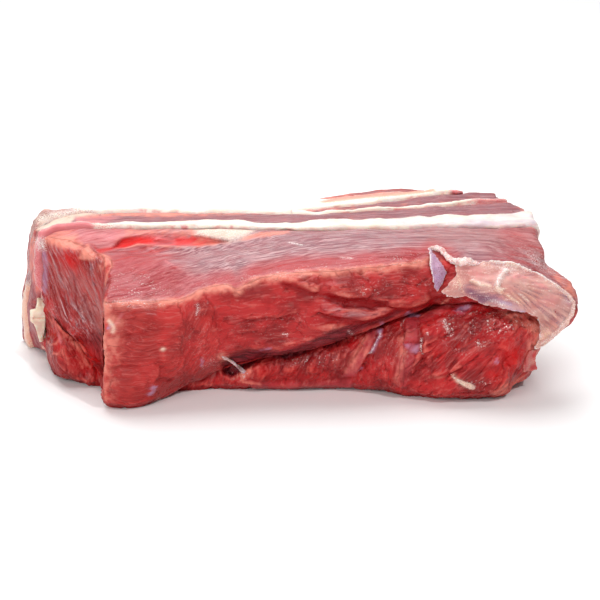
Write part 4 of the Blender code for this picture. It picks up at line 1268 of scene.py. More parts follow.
# Each lean: its name, its deep, middle and bright red, its film and rim, its fibres' width and length, and
# the seed of its noise.
LEAN_FINISHES = {
    "front": (
        "front_lean", ((126, 12, 18), (177, 33, 36), (204, 62, 56)), GREY_FILM, RIM_PEACH, 0.7, 16.0, 0.0,
    ),
    "lower": (
        "lower_lean", ((118, 6, 14), (176, 22, 28), (210, 56, 52)), GREY_FILM, LOWER_RIM, 1.3, 12.0, 7.0,
    ),
    "inner": (
        "inner_lean", ((134, 40, 48), (170, 68, 74), (200, 104, 106)), MAUVE_FILM, RIM_PEACH, 0.9, 16.0,
        13.0,
    ),
    "outer": (
        "outer_lean", ((136, 34, 38), (184, 66, 64), (212, 108, 98)), MAUVE_FILM, RIM_PEACH, 0.9, 16.0,
        19.0,
    ),
}
# Each fat: its name, its white, cream and peach, the seed of its noise, and how much light goes into it.
FAT_FINISHES = {
    "white": ("seam_fat", ((248, 242, 232), (244, 232, 216), (236, 202, 184)), 0.0, 0.35),
    "cream": ("back_fat", ((255, 250, 242), (253, 243, 228), (246, 218, 198)), 5.0, 0.35),
    "tendon": ("tendon_cream", ((248, 240, 222), (240, 228, 200), (226, 190, 158)), 9.0, 0.35),
    "silver": ("silverskin_pink", ((220, 172, 162), (204, 138, 131), (192, 110, 107)), 15.0, 0.45),
}


def make_materials():
    groups = (make_fibre_group(), make_mottle_group(), make_ragged_group(), make_crease_group())
    materials = {finish: lean_material(groups, *settings) for finish, settings in LEAN_FINISHES.items()}
    for finish, settings in FAT_FINISHES.items():
        materials[finish] = fat_material(groups, *settings)
    return materials


# ---------------------------------------------------------------- sculpting

def push_back(flesh, depth):
    """Pushes points straight away from the camera, so that they keep their place in the picture."""
    flesh.points = flesh.points - BACKWARDS * depth[:, None]
    flesh.stay_above_floor()


def crease(flesh, lines):
    """Presses the named folds into a piece, and paints deep red shade under their lips."""
    height = np.zeros(flesh.count)
    for line, width, depth in lines.values():
        near, distance, side, share = flesh.beside(line, width * 3)
        if not len(near):
            continue
        fade = tapered(share)
        way = side / width
        shape = np.tanh(way * 3.2) * np.exp(-(distance / width) ** 2 * 0.9)
        groove = np.exp(-(distance / (width * 0.3)) ** 2)
        height[near] += depth * fade * (shape * 0.75) - abs(depth) * fade * groove * 0.45
        # Painted shade: the deep mark below each fold's lip.
        blood = np.zeros(flesh.count)
        under = np.exp(-((side + width * 0.25) / (width * 0.5)) ** 2) * np.exp(-(distance / width / 1.2) ** 2)
        blood[near] = fade * under * min(abs(depth) * 0.55, 1)
        flesh.mark("deep", blood)
    flesh.raise_by(height)
    flesh.look()


def open_main_crease(fleshes, line):
    """Lets the lower muscle fall back under the front muscle, whose lip swells over it, and paints shade into
    the crease on both.
    """
    lower = fleshes["lower_muscle"]
    near, distance, side, share = lower.beside(line, MAIN_CREASE_WIDTH * 3)
    depth = np.zeros(lower.count)
    fade = tapered(share, 0.12)
    open_side = lower.facing[near] > -0.2
    depth[near] = MAIN_CREASE_DEPTH * fade * step(MAIN_CREASE_WIDTH * 2.1, 0, distance) * open_side
    push_back(lower, depth)
    dark = np.zeros(lower.count)
    dark[near] = fade * step(MAIN_CREASE_WIDTH * 1.5, 0.5, distance)
    # Painted shade in the crease, on the lower muscle.
    lower.mark("hollow", dark * 0.85)
    lower.look()
    front = fleshes["front_muscle"]
    near, distance, side, share = front.beside(line, MAIN_CREASE_WIDTH * 2)
    swell, dark = np.zeros(front.count), np.zeros(front.count)
    fade = tapered(share, 0.12)
    ridge = np.exp(-((side - 3.5) / 3.0) ** 2)
    swell[near] = CREASE_LIP_HEIGHT * fade * ridge * np.exp(-(distance / 6) ** 2)
    dark[near] = fade * step(1.5, -2.5, side) * step(MAIN_CREASE_WIDTH * 1.6, 2, distance)
    front.raise_by(swell)
    # Painted shade below the front muscle's lip.
    front.mark("hollow", dark * 0.8)
    front.look()


def paint(flesh, lines):
    """Lays the named painted lines and dabs onto a piece."""
    height = np.zeros(flesh.count)
    for name, (mark, _, width, strength, proud) in LINES.items():
        line = lines.get(name)
        if line is None:
            continue
        near, distance, _, share = flesh.beside(line, width * 3)
        if not len(near):
            continue
        shape = np.exp(-(distance / width) ** 2) * tapered(share, 0.1)
        value = np.zeros(flesh.count)
        value[near] = shape * strength
        flesh.mark(mark, value)
        height[near] += shape * proud
    for mark, outline, soft, strength, nodes in PATCHES.values():
        if flesh.node in nodes:
            flesh.mark(mark, flesh.patch(outline, soft) * strength)
    for mark, (cx, cy), (rx, ry), turn, strength in DABS.values():
        flesh.mark(mark, flesh.dab(cx, cy, rx, ry, turn) * strength)
    flesh.raise_by(height)
    flesh.look()


def relief(flesh, mask, lay, strand=(0, 1, 1), lumps=(0, 1), wrinkles=(0, 1, 1), seed=0, waver=2.2):
    """The height of one region, from strands (height, width, length), lumps (height, size) and wrinkles
    (depth, width, length)."""
    some = np.where(mask > 0.004)[0]
    height = np.zeros(flesh.count)
    if not len(some):
        return height
    wave = np.stack([ripple(flesh.points[some] / 14, seed + 60 + i) for i in range(3)], 1)
    here = lay[some] + wave * waver
    total = np.zeros(len(some))
    if strand[0]:
        total += strand[0] * (ridged(here / (strand[2], strand[1], strand[1]), 2, seed) - 0.6)
    if lumps[0]:
        total += lumps[0] * rough(here / (lumps[1] * 1.7, lumps[1], lumps[1]), 3, seed + 20, 0.38)
    if wrinkles[0]:
        folded = ridged(here / (wrinkles[2], wrinkles[1], wrinkles[1]), 2, seed + 30)
        total -= wrinkles[0] * np.maximum(folded - 0.78, 0) / 0.22
    height[some] = total * mask[some]
    return height


def proud_and_deep(flesh):
    """How far each point stands out of the surface round it, at a fine and a coarse scale. Marks the coarse
    bulges for painted highlight and the hollows for painted shade.
    """
    fine = ((flesh.points - flesh.spread(flesh.points, 4)) * flesh.normals).sum(1)
    coarse = ((flesh.points - flesh.spread(flesh.points, 26)) * flesh.normals).sum(1)
    # Painted highlight on the bulges, painted shade in the hollows.
    flesh.mark("ridge", step(0.05, 1.0, coarse))
    flesh.mark("valley_shade", step(-0.05, -1.0, coarse))
    return fine, coarse


def shape_tendon(flesh):
    """Gives the tendon its thick top, its block and its tapering foot, at their places in the picture."""
    rows = ((flesh.py - flesh.py.min()) / 2).astype(int)
    middles = flesh.py.min() + (np.arange(rows.max() + 1) + 0.5) * 2
    low, high = np.full(len(middles), 1e6), np.full(len(middles), -1e6)
    np.minimum.at(low, rows, flesh.px)
    np.maximum.at(high, rows, flesh.px)
    low, high = np.interp(flesh.py, middles, low), np.interp(flesh.py, middles, high)
    share = np.clip((flesh.px - low) / np.maximum(high - low, 1), 0, 1)
    heights, left, right = zip(*TENDON_EDGES)
    wanted = np.interp(flesh.py, heights, left) * (1 - share) + np.interp(flesh.py, heights, right) * share
    flesh.points = flesh.points + CAMERA_RIGHT * ((wanted - flesh.px) * MILLIMETRES_A_PIXEL)[:, None]
    push_back(flesh, np.full(flesh.count, -TENDON_PROUD))
    flesh.look()


def make_room(flesh, place=TENDON_ROOM):
    """Draws a piece aside and back, where the tendon lies beside it."""
    centre, radii, right, back = place
    fade = flesh.fade_round(centre, radii)[:, None]
    flesh.points = flesh.points + fade * (CAMERA_RIGHT * right - BACKWARDS * back)
    flesh.stay_above_floor()
    flesh.look()


def tuck_under(flesh):
    """Draws the lowest edge in a little, where the meat rounds off onto the floor, and paints shade along it.
    """
    normals = smooth_normals(flesh, 6)
    inwards = -normals * (1, 1, 0)
    share = step(3.6, 0.0, flesh.points[:, 2])
    flesh.points = flesh.points + inwards * (share * 1.7)[:, None]
    # Painted shade along the bottom edge, next to the floor.
    flesh.mark("hollow", step(2.6, 0.2, flesh.points[:, 2]) * 0.5)
    flesh.look()


def smooth_normals(flesh, turns=12):
    normals = flesh.spread(flesh.normals, turns)
    return normals / np.linalg.norm(normals, axis=1)[:, None]


def push_in_picture(flesh):
    """Pushes the places of PUSHES and TOP_SHIFTS, the same for every piece."""
    for centre, radii, (right, down) in PUSHES.values():
        fade = flesh.fade_round(centre, radii)[:, None]
        flesh.points = flesh.points + fade * (CAMERA_RIGHT * right - CAMERA_UP * down) * MILLIMETRES_A_PIXEL
    for centre, radii, forwards in TOP_SHIFTS.values():
        fade = flesh.fade_round(centre, radii) * step(*TOP_SHIFT_HEIGHTS, flesh.points[:, 2])
        flesh.points = flesh.points - LEVEL_BACK * (fade * forwards)[:, None]
    flesh.stay_above_floor()


def swell(flesh, places):
    """Raises the swellings of a table such as BUMPS, and sinks its hollows."""
    height = np.zeros(flesh.count)
    for (cx, cy), (rx, ry), turn, much in places.values():
        height += flesh.dab(cx, cy, rx, ry, turn) * much
    flesh.raise_by(height)
    flesh.look()


def fit_left_side(flesh):
    """Moves the left side of the block to the outline that it has in the picture."""
    shift = np.interp(flesh.py, *zip(*LEFT_SHIFT)) * step(*LEFT_SIDE_ENDS, flesh.px) * MILLIMETRES_A_PIXEL
    flesh.points = flesh.points + CAMERA_RIGHT * shift[:, None]


def draw_back_lobe(flesh):
    """Lets the lobe at the left end fall back, level over the floor, behind the foot."""
    inside = flesh.patch(END_LOBE, 2.0, shown=False)
    inside *= step(FOOT_EDGE_PX + 1.0, FOOT_EDGE_PX - 1.0, flesh.px)
    depth = END_LOBE_DEPTH * inside * step(*END_LOBE_ACROSS, flesh.px)
    flesh.points = flesh.points + LEVEL_BACK * depth[:, None]
    flesh.look()


def carve_end(flesh):
    """Hollows the left end of the front muscle, deepest low down beside the foot."""
    patch = flesh.patch(END_FACE, 3.0)
    lean_in = step(*END_DEEPENS_RIGHTWARDS, flesh.px) * (0.3 + 0.7 * step(*END_DEEPENS_DOWNWARDS, flesh.py))
    depth = END_HOLLOW_DEPTH * patch * lean_in * step(FOOT_EDGE_PX + 1.2, FOOT_EDGE_PX - 1.2, flesh.px)
    push_back(flesh, depth)
    crevice = flesh.patch(CREVICE_TOP_LEFT, 1.8) * step(*CREVICE_DEEPENS, flesh.py)
    push_back(flesh, crevice * CREVICE_DEPTH)
    # A painted red glow in the crevice.
    flesh.mark("glow", crevice * np.interp(flesh.px, *zip(*CREVICE_GLOW)))
    flesh.look()
    return patch


def sculpt_front(flesh, end_patch):
    """The big muscle at the front: its filmy top, its face with the foot, and its hollow left end."""
    p = flesh.points
    hidden_fold = flesh.patch(UNDERSIDE, 3.0)
    normals = smooth_normals(flesh)
    level_top = step(0.45, 0.8, normals[:, 2]) * step(40, 46, p[:, 2])
    rim_y = np.interp(flesh.px, *zip(*TOP_RIM))
    beside_foot = step(*FRONT_BEGINS, flesh.px)
    seen = step(0.0, 0.15, flesh.facing) * step(20, 30, p[:, 2]) * beside_foot
    seen = seen * step(-0.1, 0.1, normals[:, 2])
    above_rim = step(1.5, -2.0, flesh.py - rim_y)
    top = level_top * (1 - seen) + above_rim * seen
    top = top * (1 - end_patch)
    end = np.maximum(step(-0.25, -0.6, normals[:, 0]) * step(-70, -78, p[:, 0]), end_patch) * (1 - top)
    end *= step(FOOT_EDGE_PX + 2, FOOT_EDGE_PX - 2, flesh.px)
    bottom = step(-0.5, -0.8, normals[:, 2])
    face = np.clip(1 - top - end - bottom, 0, 1)
    edge = p[:, 0] + ripple(p / 9, 12) * 4
    foot = face * (edge < FOOT_END)
    strands = face * (edge >= FOOT_END) * (edge < STRANDS_END - (p[:, 2] - 30) * 0.25)
    middle = face - foot - strands
    bow = np.interp(p[:, 0], *zip(*TOP_FIBRE_BOW))
    level = np.stack([p[:, 0], p[:, 1] - bow, p[:, 2]], 1)
    face_lay = turned(p, (0, -40, 30), 4)
    waves = np.stack([0 * p[:, 0], ripple(p / 11, 16) * 1.6, ripple(p / 9, 17)], 1)
    foot_lay = turned(p, (-60, -40, 20), -3) + waves
    strands_lay = turned(p, (-40, -40, 30), 64)
    end_lay = turned(p, (-95, -5, 30), -52, END_WALL)
    pick = np.argmax(np.stack([top, middle + bottom, foot, end, strands]), 0)
    long_way, short_way = np.array([0.5, 1.0, 1.0]), np.array([1.5, 0.8, 0.8])
    lays = [level * long_way, face_lay * short_way, foot_lay * long_way * 1.3, end_lay, strands_lay]
    flesh.marks["lay"] = np.choose(pick[:, None], lays)
    flesh.mark("grain", np.choose(pick, [1.0, 0.4, 0.35, 1.0, 0.7]))
    height = relief(flesh, top, level, (0.22, 1.3, 45), (0.35, 16), seed=1, waver=0.7)
    rugged = flesh.spread(middle + bottom, 8) * (1 - 0.7 * hidden_fold)
    rugged = rugged * (0.6 + 0.5 * step(*FACE_LUMPS_GROW, flesh.px))
    foot_area, strands_area = flesh.spread(foot, 8), flesh.spread(strands, 8)
    height += relief(flesh, rugged, face_lay, (0.32, 2.4, 12), (1.0, 10), (1.2, 5.6, 17), seed=2)
    height += relief(flesh, foot_area, foot_lay, (0.2, 2.2, 14), (0.55, 12), (0.8, 5.0, 18), seed=3)
    height += relief(flesh, strands_area, strands_lay, (0.5, 1.8, 16), (0.5, 10), seed=9)
    height += relief(flesh, end, end_lay, (0.75, 1.7, 22), (0.7, 12), (0.8, 3.4, 24), seed=4)
    flesh.raise_by(height)
    flesh.look()
    fine, coarse = proud_and_deep(flesh)
    greyer = 0.42 + 0.58 * step(*FILM_BEGINS, flesh.px + 0.6 * (FILM_LEANS_FROM - flesh.py))
    greyer = greyer * (1 - 0.35 * step(*FILM_THINS, flesh.px))
    near_rim = seen * step(*RIM_RED_ABOVE, flesh.py - rim_y)
    near_rim = near_rim * step(*RIM_RED_LEFT, flesh.px) * step(*RIM_RED_RIGHT, flesh.px)
    greyer = greyer * (1 - 0.8 * near_rim)
    flesh.mark("mauve", top * near_rim * RIM_MAUVE)
    flesh.mark("film", top * np.where(flesh.facing > 0, greyer, 0.9))
    flesh.mark("film", end * (0.06 + 0.62 * step(0.02, 0.2, fine)))
    # The foot, and less the strands beside it, are painted lighter with the ridge mark.
    flesh.mark("ridge", foot * 0.5 + strands * 0.25)
    flesh.mark("pale", flesh.patch(PEACH_BANK, 5.0) * 0.6)
    # Painted highlight on the bulges of the face and the top.
    flesh.mark("pale", face * step(0.3, 1.2, coarse) * 0.3 + top * step(0.3, 0.8, coarse) * 0.25)
    broken = 0.45 + 0.55 * step(-0.3, 0.5, ripple(p / (6, 3, 3), 14))
    # A broken pale band along the rim: a painted highlight on the rounded edge.
    rim_highlight = face * step(10, 0, np.abs(flesh.py - rim_y)) * beside_foot * step(*RIM_PALE_RIGHT, flesh.px)
    flesh.mark("pale", rim_highlight * broken * 0.62)
    # Painted shade in the coarse hollows.
    flesh.mark("hollow", step(-0.4, -1.4, coarse) * (0.8 - 0.6 * end))
    flesh.mark("wet", 0.25 + 0.4 * face * step(0.3, 0.7, ripple(p / 7, 5)))


def sculpt_lower(flesh):
    """The darker muscle under the front one: rough and wet, with smooth bands across it."""
    p = flesh.points
    end = step(-80, -88, p[:, 0])
    rest = 1 - end
    right = rest * step(35, 50, p[:, 0])
    left = rest - right
    right_lay = turned(p, (70, -45, 20), 42)
    left_lay = turned(p, (0, -30, 10), 72)
    end_lay = turned(p, (-95, -5, 15), -40, END_WALL)
    flesh.mark("grain", 0.5 + 0.1 * end)
    pick = np.argmax(np.stack([left, right, end]), 0)
    flesh.marks["lay"] = np.choose(pick[:, None], [left_lay, right_lay, end_lay])
    bands = np.max([flesh.patch(outline, 1.8) for outline in BANDS.values()], axis=0)
    rugged = 1 - 0.85 * bands
    height = relief(flesh, right * rugged, right_lay, (0.6, 2.4, 15), (0.95, 9), (1.5, 5.2, 18), seed=5)
    height += relief(flesh, left * rugged, left_lay, (0.6, 2.0, 11), (0.7, 8), (0.9, 4.0, 12), seed=6)
    height += bands * 0.7
    height += relief(flesh, end, end_lay, (0.5, 2.2, 14), (0.8, 10), (0.7, 4, 14), seed=7)
    flesh.raise_by(height)
    flesh.look()
    _, coarse = proud_and_deep(flesh)
    flesh.mark("lilac", flesh.patch(LILAC_PATCH, 2.0) * 0.5)
    # Painted highlight on the bulges.
    flesh.mark("pale", step(0.2, 1.0, coarse) * 0.4)
    # Painted shade in the coarse hollows.
    flesh.mark("hollow", step(-0.4, -1.4, coarse) * (0.8 - 0.6 * end))
    flesh.mark("wet", 0.35 + 0.45 * step(0.1, 0.6, ripple(p / 6, 8)))


# How much film the cut sides of a layer keep.
SIDE_FILM = 0.35


def sculpt_layer(flesh, seed, film=0.9):
    """A muscle that shows as a band on the top: film and fibres there, and cut meat on its sides."""
    p = flesh.points
    normals = smooth_normals(flesh, 6)
    top = step(0.4, 0.8, normals[:, 2])
    end = step(0.6, 0.9, np.abs(normals[:, 0])) * (1 - top)
    rest = np.clip(1 - top - end, 0, 1)
    level = p * (0.6, 1.0, 1.0)
    side_lay = turned(p, (0, 40, 30), 16, (-1, 0)) * (1.1, 0.9, 0.9)
    end_lay = turned(p, (0, 0, 30), 74, (0, 1)) * (1.1, 0.9, 0.9)
    pick = np.argmax(np.stack([top, rest, end]), 0)
    flesh.marks["lay"] = np.choose(pick[:, None], [level, side_lay, end_lay])
    flesh.mark("grain", np.choose(pick, [1.0, 0.55, 0.7]))
    height = relief(flesh, top, p, (0.3, 1.5, 22), (0.35, 12), seed=seed)
    height += relief(flesh, end, end_lay, (0.5, 2, 12), (0.8, 9), (0.6, 4, 14), seed=seed + 1)
    height += relief(flesh, rest, side_lay, (0.35, 2.4, 14), (0.95, 11), (1.1, 5.6, 18), seed=seed + 2)
    flesh.raise_by(height)
    flesh.look()
    _, coarse = proud_and_deep(flesh)
    drifts = step(-0.6, 0.7, rough(side_lay / (46, 16, 16), 3, seed + 3))
    flesh.mark("film", film * top + SIDE_FILM * end + SIDE_FILM * rest * (0.5 + drifts * 0.9))
    # Painted highlight on the bulges of the top and the sides.
    flesh.mark("pale", step(0.12, 0.5, coarse) * 0.5 * top + step(0.4, 1.2, coarse) * 0.35 * (1 - top))
    streaks = rest * step(0.35, 1.0, rough(side_lay / (44, 4.5, 12), 3, seed + 4))
    flesh.mark("pale", streaks * 0.9)
    flesh.mark("fat", step(0.35, 0.9, streaks) * 0.5)
    flesh.mark("blood", (rest + end) * step(0.35, 0.8, rough(p / 13, 2, seed + 5)) * 0.35)
    # Painted shade in the coarse hollows.
    flesh.mark("hollow", step(-0.4, -1.4, coarse) * 0.7)
    flesh.mark("wet", 0.3 + 0.3 * step(0.1, 0.6, ripple(p / 7, seed + 6)))


def sculpt_fat(flesh, seed, marbling):
    """A seam of fat, with a grainy surface and pink marbling on its sides."""
    p = flesh.points
    flesh.marks["lay"] = p.copy()
    everywhere = np.ones(flesh.count)
    top = step(0.4, 0.8, smooth_normals(flesh, 6)[:, 2])
    height = relief(flesh, everywhere, p, (0.3, 2.2, 9), (0.5, 6), seed=seed)
    height += top * 0.35
    flesh.raise_by(height)
    flesh.look()
    _, coarse = proud_and_deep(flesh)
    flesh.mark("pink", 0.12 * (1 - top) + step(-0.1, -0.6, coarse) * 0.35)
    flesh.mark("pink", (1 - top) * step(0.05, 0.6, rough(p / (11, 7, 9), 3, seed + 7)) * marbling)


# ---------------------------------------------------------------- the silverskin on the nose

SILVERSKIN_OUTLINE = (
    (455, 268), (456, 263), (461, 260), (468, 258), (475, 264), (484, 261), (496, 260), (513, 262),
    (524, 267), (541, 274), (553, 282), (564, 291), (573, 299), (575, 306), (574, 315), (566, 325),
    (557, 336), (546, 345), (538, 349), (534, 349), (539, 339), (540, 328), (538, 317.5), (527, 313),
    (510, 310.5), (496, 307), (484, 306), (476, 301), (466, 296.5), (455, 298), (447, 296), (441, 292),
    (448, 284), (456, 275),
)
LILAC_STRIP_OUTLINE = (
    (428, 248), (432, 250), (437, 257), (443, 265), (446.5, 272), (444, 281), (440, 289), (437, 293),
    (434, 286), (433, 276), (430, 265), (430, 257),
)
# Ridges that run out over the sheet: (points, width and height in millimetres, mark).
SHEET_RIDGES = {
    "upper_ridge": (((455, 276), (468, 280), (482, 285), (494, 287)), 0.8, 1.3, "cream"),
    "left_ridge": (((457, 274), (461, 284), (465, 295)), 0.6, 0.9, "peach"),
    "strand": (((517, 262), (508, 269), (501, 277), (497, 285), (500, 289)), 1.3, 1.3, "white"),
    "strand_root": (((504, 263), (512, 264), (521, 266)), 1.3, 0.7, "cream"),
    "strand_knot": (((496, 284), (499, 290), (504, 292)), 1.4, 0.9, "cream"),
    "mid_ridge": (((494, 287), (505, 294), (516, 300), (526, 306)), 0.8, 0.9, "peach"),
    "fan_a": (((510, 291), (522, 301), (532, 315), (540, 331)), 0.5, 0.7, "peach"),
    "fan_b": (((514, 290), (528, 301), (538, 316), (544, 333)), 0.5, 0.7, "cream"),
    "fan_c": (((520, 289), (536, 301), (546, 317), (550, 331)), 0.5, 0.6, "peach"),
    "fan_d": (((506, 293), (518, 303), (526, 313), (532, 326)), 0.5, 0.6, "cream"),
    "fan_e": (((526, 288), (541, 297), (552, 309), (557, 322)), 0.5, 0.5, "peach"),
    "right_fold": (((505, 280), (520, 276), (535, 282), (550, 292)), 1.2, 0.5, "pink"),
    "top_edge": (
        ((484, 261.5), (496, 260.5), (513, 262.5), (524, 267.5), (541, 274.5), (553, 283), (564, 292),
        (573, 300)), 0.8, 0.5, "white",
    ),
    "low_edge": (((484, 305), (496, 306.5), (510, 309.5), (527, 312)), 0.6, 0.3, "lilac"),
    "right_edge": (((574, 306), (573, 315), (565, 325), (556, 335), (545, 344)), 0.9, 0.6, "white"),
}
SHEET_RIDGE_PAINT = 0.65
# The point that the sheet's folds fan out from, where the fan begins, and millimetres for each pixel along
# it.
FAN_CENTRE = (500, 280)
FAN_BEGINS = (505, 520)
SHEET_SCALE = 0.42
# Where the lilac strip darkens downwards and rightwards, and where its left edge is pale and curls up.
STRIP_DARKENS_DOWN = (262, 292)
STRIP_DARKENS_RIGHT = (434, 444)
STRIP_PALE_EDGE = (434, 430)
STRIP_CURL = (436, 430)
SHEET_DABS = {
    "left_cream": ("cream", (458, 284), (9, 11), 20, 0.4),
    # A painted highlight on the upper sheet.
    "highlight_top": ("white", (505, 268), (26, 6), 12, 0.35),
    # Painted white glints low on the sheet.
    "glint_low": ("white", (500, 303), (16, 3), 14, 0.5),
    "pink_top": ("film", (478, 274), (20, 7), 12, 0.5),
    "pink_middle": ("film", (524, 276), (16, 7), 22, 0.4),
    "pink_right": ("film", (550, 300), (12, 12), 30, 0.4),
    "dusk_low": ("dusk", (486, 298), (24, 7), 15, 1.0),
    "dusk_left": ("dusk", (468, 290), (14, 6), 20, 0.6),
    # Painted lilac glints.
    "lilac_glint_mid": ("lilac", (503, 302), (14, 4), 18, 0.7),
    "dusk_fan": ("dusk", (520, 300), (14, 10), 30, 0.35),
    "lilac_right": ("lilac", (566, 298), (5, 10), -40, 0.6),
    "cream_tip": ("cream", (545, 336), (12, 10), -30, 0.6),
    "white_tip": ("white", (564, 326), (10, 5), -50, 0.6),
}


# How far a sheet is pressed towards the meat in each round of easing, in millimetres.
SHEET_TIGHTENING = 0.0125
FAR_OFF = 1e6


def lay_sheet(name, outline, meats, lift, thickness, pitch=1.0):
    """A thin sheet inside an outline of pixels, drawn tight over the meat behind it, from a flat grid."""
    corner_low = np.min(outline, axis=0) - 2
    corner_high = np.max(outline, axis=0) + 2
    across, down = (int(v) for v in (corner_high - corner_low) / pitch)
    grid = bpy.ops.mesh.primitive_grid_add
    piece = new_piece(grid, name, x_subdivisions=across, y_subdivisions=down, size=1, location=(0, 0, 0))
    mesh = piece.data
    flat = np.array([v.co[:2] for v in mesh.vertices])
    pixels = corner_low + (flat + 0.5) * (corner_high - corner_low)
    inside = np.zeros(len(mesh.polygons), bool)
    for face in mesh.polygons:
        x, y = pixels[list(face.vertices)].mean(0)
        crossings = sum(
            (ay > y) != (by > y) and x < (bx - ax) * (y - ay) / (by - ay) + ax
            for (ax, ay), (bx, by) in zip(outline, outline[1:] + outline[:1])
        )
        inside[face.index] = crossings % 2 == 1
    pick_nothing("FACE")
    mesh.polygons.foreach_set("select", ~inside)
    edit(bpy.ops.mesh.delete, type="FACE")
    mesh = piece.data
    flat = np.array([v.co[:2] for v in mesh.vertices])
    pixels = corner_low + (flat + 0.5) * (corner_high - corner_low)
    ends = np.array([e.vertices for e in mesh.edges]).T
    count = len(mesh.vertices)
    degree = np.bincount(ends.ravel(), minlength=count)
    rim = degree < 4

    def averaged(values):
        low, high = ends
        return (np.bincount(low, values[high], count) + np.bincount(high, values[low], count)) / degree

    for _ in range(3):
        eased = np.stack([averaged(pixels[:, 0]), averaged(pixels[:, 1])], 1)
        pixels[rim] = (pixels[rim] + eased[rim]) / 2
    flat_places = np.column_stack([pixels / 4.5, np.zeros(count)])
    frill = np.stack([rough(flat_places, 3, 80 + i) for i in range(2)], 1)
    near_rim = rim.astype(float)
    for _ in range(3):
        near_rim = np.maximum(near_rim, averaged(near_rim))
    pixels = pixels + frill * 0.9 * near_rim[:, None]
    aims = np.array([sight_line(*pixel) for pixel in pixels])
    camera_place = Vector(CAMERA_PLACE * MM)
    reach = np.full(count, FAR_OFF)
    for index, aim in enumerate(aims):
        for meat in meats:
            hit, place, _, _ = meat.piece.ray_cast(camera_place, Vector(aim))
            if hit:
                reach[index] = min(reach[index], (place - camera_place).length / MM)
    known = reach < FAR_OFF
    depth = np.where(known, reach - lift, reach[known].mean())
    stop = np.where(known, reach - lift, FAR_OFF)
    for _ in range(60):
        depth = np.where(known, depth, averaged(depth))
    for _ in range(80):
        depth = np.minimum(stop, averaged(depth) + SHEET_TIGHTENING)
    mesh.vertices.foreach_set("co", ((CAMERA_PLACE + aims * depth[:, None]) * MM).ravel())
    mesh.update()
    sheet = Flesh(piece, "silverskin")
    if sheet.facing.mean() < 0:
        edit_whole(piece, bpy.ops.mesh.flip_normals)
        sheet.look()
    sheet.rim = rim
    sheet.thickness = thickness
    return sheet


def thicken(sheet):
    """Gives a sheet its thickness."""
    sheet.write()
    sheet.keep_marks()
    wall = sheet.piece.modifiers.new("thickness", "SOLIDIFY")
    wall.thickness = sheet.thickness * MM
    wall.offset = -1
    apply_all(sheet.piece)


def sculpt_silverskin(meats):
    """The pale flap with its fanned folds, and the lilac strip at its left."""
    sheet = lay_sheet("silverskin_sheet", SILVERSKIN_OUTLINE, meats, 1.5, 0.7)
    height = np.zeros(sheet.count)
    for pixels, width, proud, mark in SHEET_RIDGES.values():
        line = trace(pixels, [sheet])
        if line is None:
            continue
        near, distance, _, share = sheet.beside(line, width * 3)
        shape = np.exp(-(distance / width) ** 2) * tapered(share, 0.15)
        height[near] += shape * proud
        value = np.zeros(sheet.count)
        value[near] = shape * SHEET_RIDGE_PAINT
        sheet.mark(mark, value)
    for mark, (cx, cy), (rx, ry), turn, strength in SHEET_DABS.values():
        sheet.mark(mark, sheet.dab(cx, cy, rx, ry, turn) * strength)
    lay = np.stack([sheet.px * SHEET_SCALE, -sheet.py * SHEET_SCALE, np.zeros(sheet.count)], 1)
    fan_x, fan_y = sheet.px - FAN_CENTRE[0], sheet.py - FAN_CENTRE[1]
    fan = np.arctan2(fan_y, fan_x)
    spokes = np.stack([np.hypot(fan_x, fan_y) * SHEET_SCALE, fan * 22, np.zeros(sheet.count)], 1)
    right = step(*FAN_BEGINS, sheet.px)
    sheet.marks["lay"] = np.where(right[:, None] > 0.5, spokes, lay)
    fan_folds = ridged(spokes / (14, 2.2, 1), 2, 91)
    long_folds = ridged(lay / (12, 2.8, 1), 2, 92)
    height += (fan_folds - 0.6) * 0.9 * right
    height += (long_folds - 0.6) * 0.6 * (1 - right)
    folded = fan_folds * right + long_folds * (1 - right)
    # The fold crests are painted peach and, as painted highlight, white; the valleys take dusk as painted
    # shade.
    sheet.mark("peach", step(0.7, 1.0, folded) * 0.5)
    sheet.mark("white", step(0.8, 1.0, folded) * 0.4)
    sheet.mark("dusk", step(0.45, 0.2, folded) * 0.5)
    height += rough(sheet.points / 7, 2, 93) * 0.35
    sheet.points = sheet.points + sheet.normals * height[:, None]
    sheet.look()
    edge = sheet.spread(sheet.rim.astype(float), 3)
    sheet.mark("white", step(0.1, 0.6, edge) * 0.8)
    thicken(sheet)
    strip = lay_sheet("lilac_strip", LILAC_STRIP_OUTLINE, meats, 1.0, 0.6)
    strip.mark("lilac", np.full(strip.count, 0.9))
    darker = 0.2 + step(*STRIP_DARKENS_DOWN, strip.py) * 0.3 + step(*STRIP_DARKENS_RIGHT, strip.px) * 0.5
    strip.mark("dusk", darker)
    flecks = 0.25 * step(0.2, 0.7, ripple(strip.points / 1.5, 94))
    strip.mark("white", step(*STRIP_PALE_EDGE, strip.px) * 0.5 + flecks)
    strip.marks["lay"] = strip.points.copy()
    curl = step(*STRIP_CURL, strip.px) * 1.2 + rough(strip.points / 5, 2, 95) * 0.3
    strip.points = strip.points + strip.normals * curl[:, None]
    strip.look()
    edge = strip.spread(strip.rim.astype(float), 2)
    strip.mark("white", step(0.2, 0.8, edge) * 0.7)
    thicken(strip)
    return [sheet, strip]


